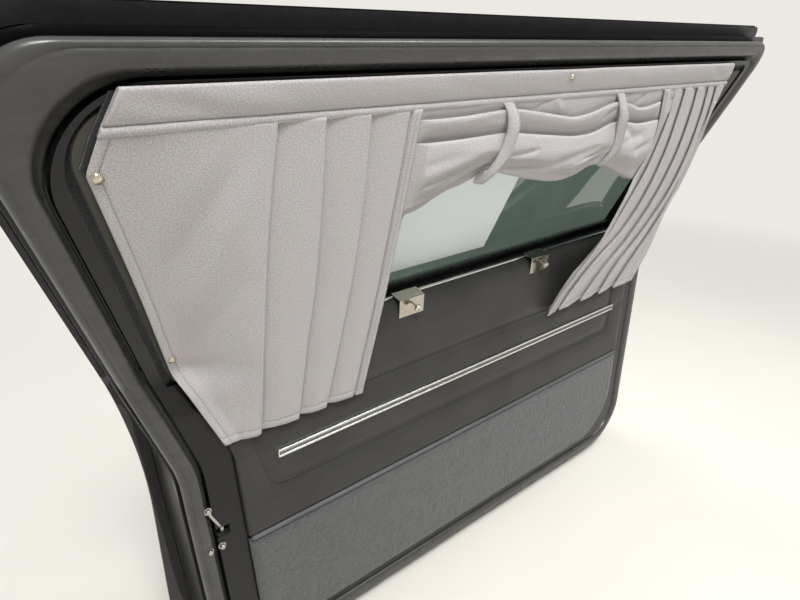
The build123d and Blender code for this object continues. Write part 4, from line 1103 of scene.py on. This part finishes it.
def trim_card():
    """Padded vinyl card: rolled shoulder, pressed border and rolled edges."""
    shoulder_z, flat_low = -24.4, -344
    section = [(22, 14.5), (18, 14.5), (15.4, 14.4)]
    section += [(pulled_in(58, z - shoulder_z), z) for z in spread(14, shoulder_z, 13)[1:]]
    section += [(0, z) for z in spread(shoulder_z, flat_low, 118)[1:]]
    section += [(0.3, -346.5), (1, -348.6), (2.4, -350.4), (4.6, -351.5), (8, -352)]
    rows = []
    for y, z in section:
        x0, x1 = card_x0(z), CARD_X1
        row = shifted([(0, 11), (-0.2, 6), (0.6, 2.6), (2.6, 0.8)], x0, y)
        for x in spread(x0 + 6, x1 - 6, 330):
            relief = card_relief(x, z) if -345 < z < 6 else 0
            row.append((x, y + relief * ease((x - x0) / 20) * ease((x1 - x) / 20)))
        row += shifted([(-2.6, 0.8), (-0.6, 2.6), (0, 6), (0, 11)], x1, y)
        rows.append([(px, py, z) for px, py in row])
    return dress(grid_object("trim_card_vinyl", rows), VINYL, ["trim_card"])


def carpet():
    """Kick panel of cut pile, with soft rounded edges."""
    top, low = -362.2, -612
    rear_round, front_round = 70, 140
    levels = [top, top - 0.2, top - 1, top - 2.6]
    levels += spread(top - 5, low + 5, 90) + [low + 2.6, low + 1, low + 0.2, low]
    rolls = {0: 10, 1: 5, 2: 2.2, 3: 0.7}
    rows = []
    for i, z in enumerate(levels):
        x0 = card_x0(z) + pulled_in(rear_round, low + rear_round - z)
        x1 = CARD_X1 - pulled_in(front_round, low + front_round - z)
        roll = rolls.get(min(i, len(levels) - 1 - i), 0)
        row = shifted([(0, 10), (-0.3, 5), (0.6, 2), (2.4, 0.6)], x0, roll)
        for x in spread(x0 + 5, x1 - 5, 420):
            near = min(x - x0, x1 - x, z - low, top - z)
            swell = -2.6 * ease(near / 16) + 1.4 * ease((near - 8) / 40)
            pile = 0.9 * ripple(x, z, 1, 3.4, 3.4) + 0.8 * ripple(x, z, 2, 8, 8)
            pile += 0.5 * ripple(x, z, 3, 18, 30) + 0.7 * ripple(x, z, 5, 60, 50)
            row.append((x, roll + swell - pile * (0.4 if roll else 1)))
        row += shifted([(-2.4, 0.6), (-0.6, 2), (0, 5), (0, 10)], x1, roll)
        rows.append([(px, py, z) for px, py in row])
    return dress(grid_object("carpet_pile", rows), CARPET, ["carpet_panel"])


def piping_welt():
    """Soft welt between vinyl and carpet."""
    points = []
    for x in spread(card_x0(WELT_Z) + 3, CARD_X1 - 3, 150):
        points.append((x, 2.4 + 0.3 * ripple(x, 0, 21, 60, 10), WELT_Z + 0.5 * ripple(x, 0, 23, 110, 10)))
    radius = [3.6, *[5] * (len(points) - 2), 3.6]
    return dress(joined("piping_welt", [tube(points, radius, 14)]), WELT, ["card_piping"])


def strip_flutes():
    """Ribbed grey band sunk between the two bright beads of the strip."""
    section = [(3.4, -3.3)]
    for k in range(5):
        z = 2.8 - 1.4 * k
        section += [(z + 0.45, -3.7), (z, -4.5), (z - 0.45, -3.7)]
    section.append((-3.4, -3.3))
    rows = [[(x, y, STRIP_Z + dz) for x in spread(*STRIP_X, 60)] for dz, y in section]
    return dress(grid_object("strip_flutes", rows), FLUTE)


# Release rod beside the latch mouth, and the bolt heads in the shut face
ROD = [(-1311, 8, -262), (-1309, 6.5, -270), (-1302, 6, -286), (-1296.5, 7, -298), (-1295, 10, -304)]
ROD_RADII = [2.6, 3, 3, 3, 2.4]
BOLTS = [(-1311.5, -262), (-1296, -346), (-1318, -346)]
BOLT_BACK = 12


def smooth_sides(obj, least_area=0):
    for polygon in obj.data.polygons:
        polygon.use_smooth = len(polygon.vertices) == 4 and polygon.area >= least_area
    return obj


def latch_fasteners():
    """Release rod, and bolt heads with washers."""
    parts = [tube(ROD, ROD_RADII, 12)]
    for x, z in BOLTS:
        for depths, radii, sides in (((0, 2, 2.6), [7, 7, 6.2], 24), ((2.6, 6.6, 7.4), [4.9, 4.9, 3.9], 6)):
            parts.append(tube([(x, BOLT_BACK - depth, z) for depth in depths], radii, sides))
    return dress(smooth_sides(joined("latch_fasteners", parts), 2e-6), STEEL)


# Middle of each snap's back, how far it leans and its radius
SNAPS = [
    (-1415.2, -152.9, 334, 27, 7.2), (-1333.9, -11.7, 43, 27, 6.2), (-714, -191.4, 409, 27, 5.2),
    (-150.95, -163.8, 338, 17.6, 4.2),
]
# Share of the radius along the axis, and the radius there
SNAP_SIDE = [
    (-0.12, 0.9), (0.06, 1), (0.2, 1), (0.29, 0.95), (0.31, 0.88), (0.24, 0.8), (0.25, 0.74), (0.33, 0.66),
    (0.42, 0.52), (0.49, 0.34), (0.52, 0.16), (0.53, 0.04),
]

# The clips' screws: places along the belt, lean, back in y and z, and distance
# along the axis against radius
SCREWS_X = (-880.04, -502.03)
SCREW_LEAN = 18
SCREW_BACK = (-2.08, 6.99)
SCREW_SIDE = [
    (2, 2), (15.6, 2), (16, 3.4), (16.6, 3.4), (16.8, 6.4), (17.2, 7), (17.8, 6.6), (18.4, 7), (19.2, 6.6),
    (20, 7), (20.8, 6.6), (21.6, 7), (22.2, 6.6), (22.6, 6), (22.5, 4.6), (22.1, 3.6), (22.1, 0.4),
]


def turned(back, lean, side):
    """Round part along an axis that leans down out of the door."""
    x, y, z = back
    out, down = math.cos(math.radians(lean)), math.sin(math.radians(lean))
    points = [(x, y - out * far, z - down * far) for far, radius in side]
    return tube(points, [radius for far, radius in side], 32)


def snap_domes():
    """Pressed snap heads: a rolled rim round a low dome."""
    parts = []
    for x, y, z, lean, size in SNAPS:
        parts.append(turned((x, y, z), lean, [(far * size, radius * size) for far, radius in SNAP_SIDE]))
    return dress(smooth_sides(joined("snap_domes", parts)), SNAP, ["snap_buttons"])


def thumb_screws():
    """Ribbed round heads on the screws of the two clips."""
    parts = [turned((x, *SCREW_BACK), SCREW_LEAN, SCREW_SIDE) for x in SCREWS_X]
    return dress(smooth_sides(joined("thumb_screws", parts)), NICKEL_BRIGHT, ["clip_screws"])


snap_domes()
thumb_screws()
trim_card()
carpet()
piping_welt()
strip_flutes()
latch_fasteners()

# Stage and light

PALE = (0.84, 0.815, 0.77)
FLOOR_HALF, FLOOR_X, FLOOR_GAP = 14, -0.7, 0.004

floor_mesh = bpy.data.meshes.new("floor")
corners = [(x * FLOOR_HALF + FLOOR_X, y * FLOOR_HALF) for x, y in ((-1, -1), (1, -1), (1, 1), (-1, 1))]
floor_mesh.from_pydata([(x, y, cad_box[0][2] - FLOOR_GAP) for x, y in corners], [], [(0, 1, 2, 3)])
floor = placed("floor", floor_mesh)
look = Look("floor", Roughness=0.9)
look.surface(look.ramp(look.noise(700, 2), 0.3, 0.7, [(0.78, 0.745, 0.68), (0.82, 0.785, 0.72)]))
far = look.node("ShaderNodeVectorMath", {0: look.place["Object"]}, operation="LENGTH").outputs["Value"]
pale = look.node("ShaderNodeEmission", {"Color": (*PALE, 1)})
distant = look.maths("MULTIPLY", look.shown(), look.span(far, 1.1, 3, 0, 1))
look.show("Material Output", distant, look.shader.outputs["BSDF"], pale.outputs["Emission"])
floor.data.materials.append(look.material)

world = bpy.data.worlds.new("studio")
bpy.context.scene.world = world
world.use_nodes = True
studio = Nodes(world.node_tree)
fill = studio.tree.nodes["Background"]
fill.inputs["Color"].default_value = (0.95, 0.97, 1, 1)
fill.inputs["Strength"].default_value = 0.32
direction = studio.node("ShaderNodeTexCoord").outputs["Generated"]
upward = studio.node("ShaderNodeSeparateXYZ", {"Vector": direction}).outputs["Z"]
sky = studio.ramp(upward, 0.05, 0.6, [PALE, (0.34, 0.36, 0.38)])
backdrop = studio.node("ShaderNodeBackground", {"Color": sky, "Strength": 1})
studio.show("World Output", studio.shown(), fill.outputs["Background"], backdrop.outputs["Background"])


def area_light(name, place, target, width, height, power, colour):
    data = bpy.data.lights.new(name, "AREA")
    data.shape = "RECTANGLE"
    data.size = width
    data.size_y = height
    data.energy = power
    data.color = colour
    lamp = placed(name, data)
    lamp.location = place
    lamp.rotation_euler = (Vector(target) - Vector(place)).to_track_quat("-Z", "Y").to_euler()


area_light("key", (-1.8, -2.1, 3.3), (-0.7, 0, 0.5), 1.2, 0.9, 118, (1, 0.995, 0.985))
area_light("top", (0.4, -1.2, 3.2), (-0.5, 0, 0.4), 1.6, 1.2, 62, (0.97, 0.985, 1))
area_light("rim", (-0.6, 3, 2.2), (-0.7, 0, 0.3), 2.4, 1.4, 40, (1, 1, 1))
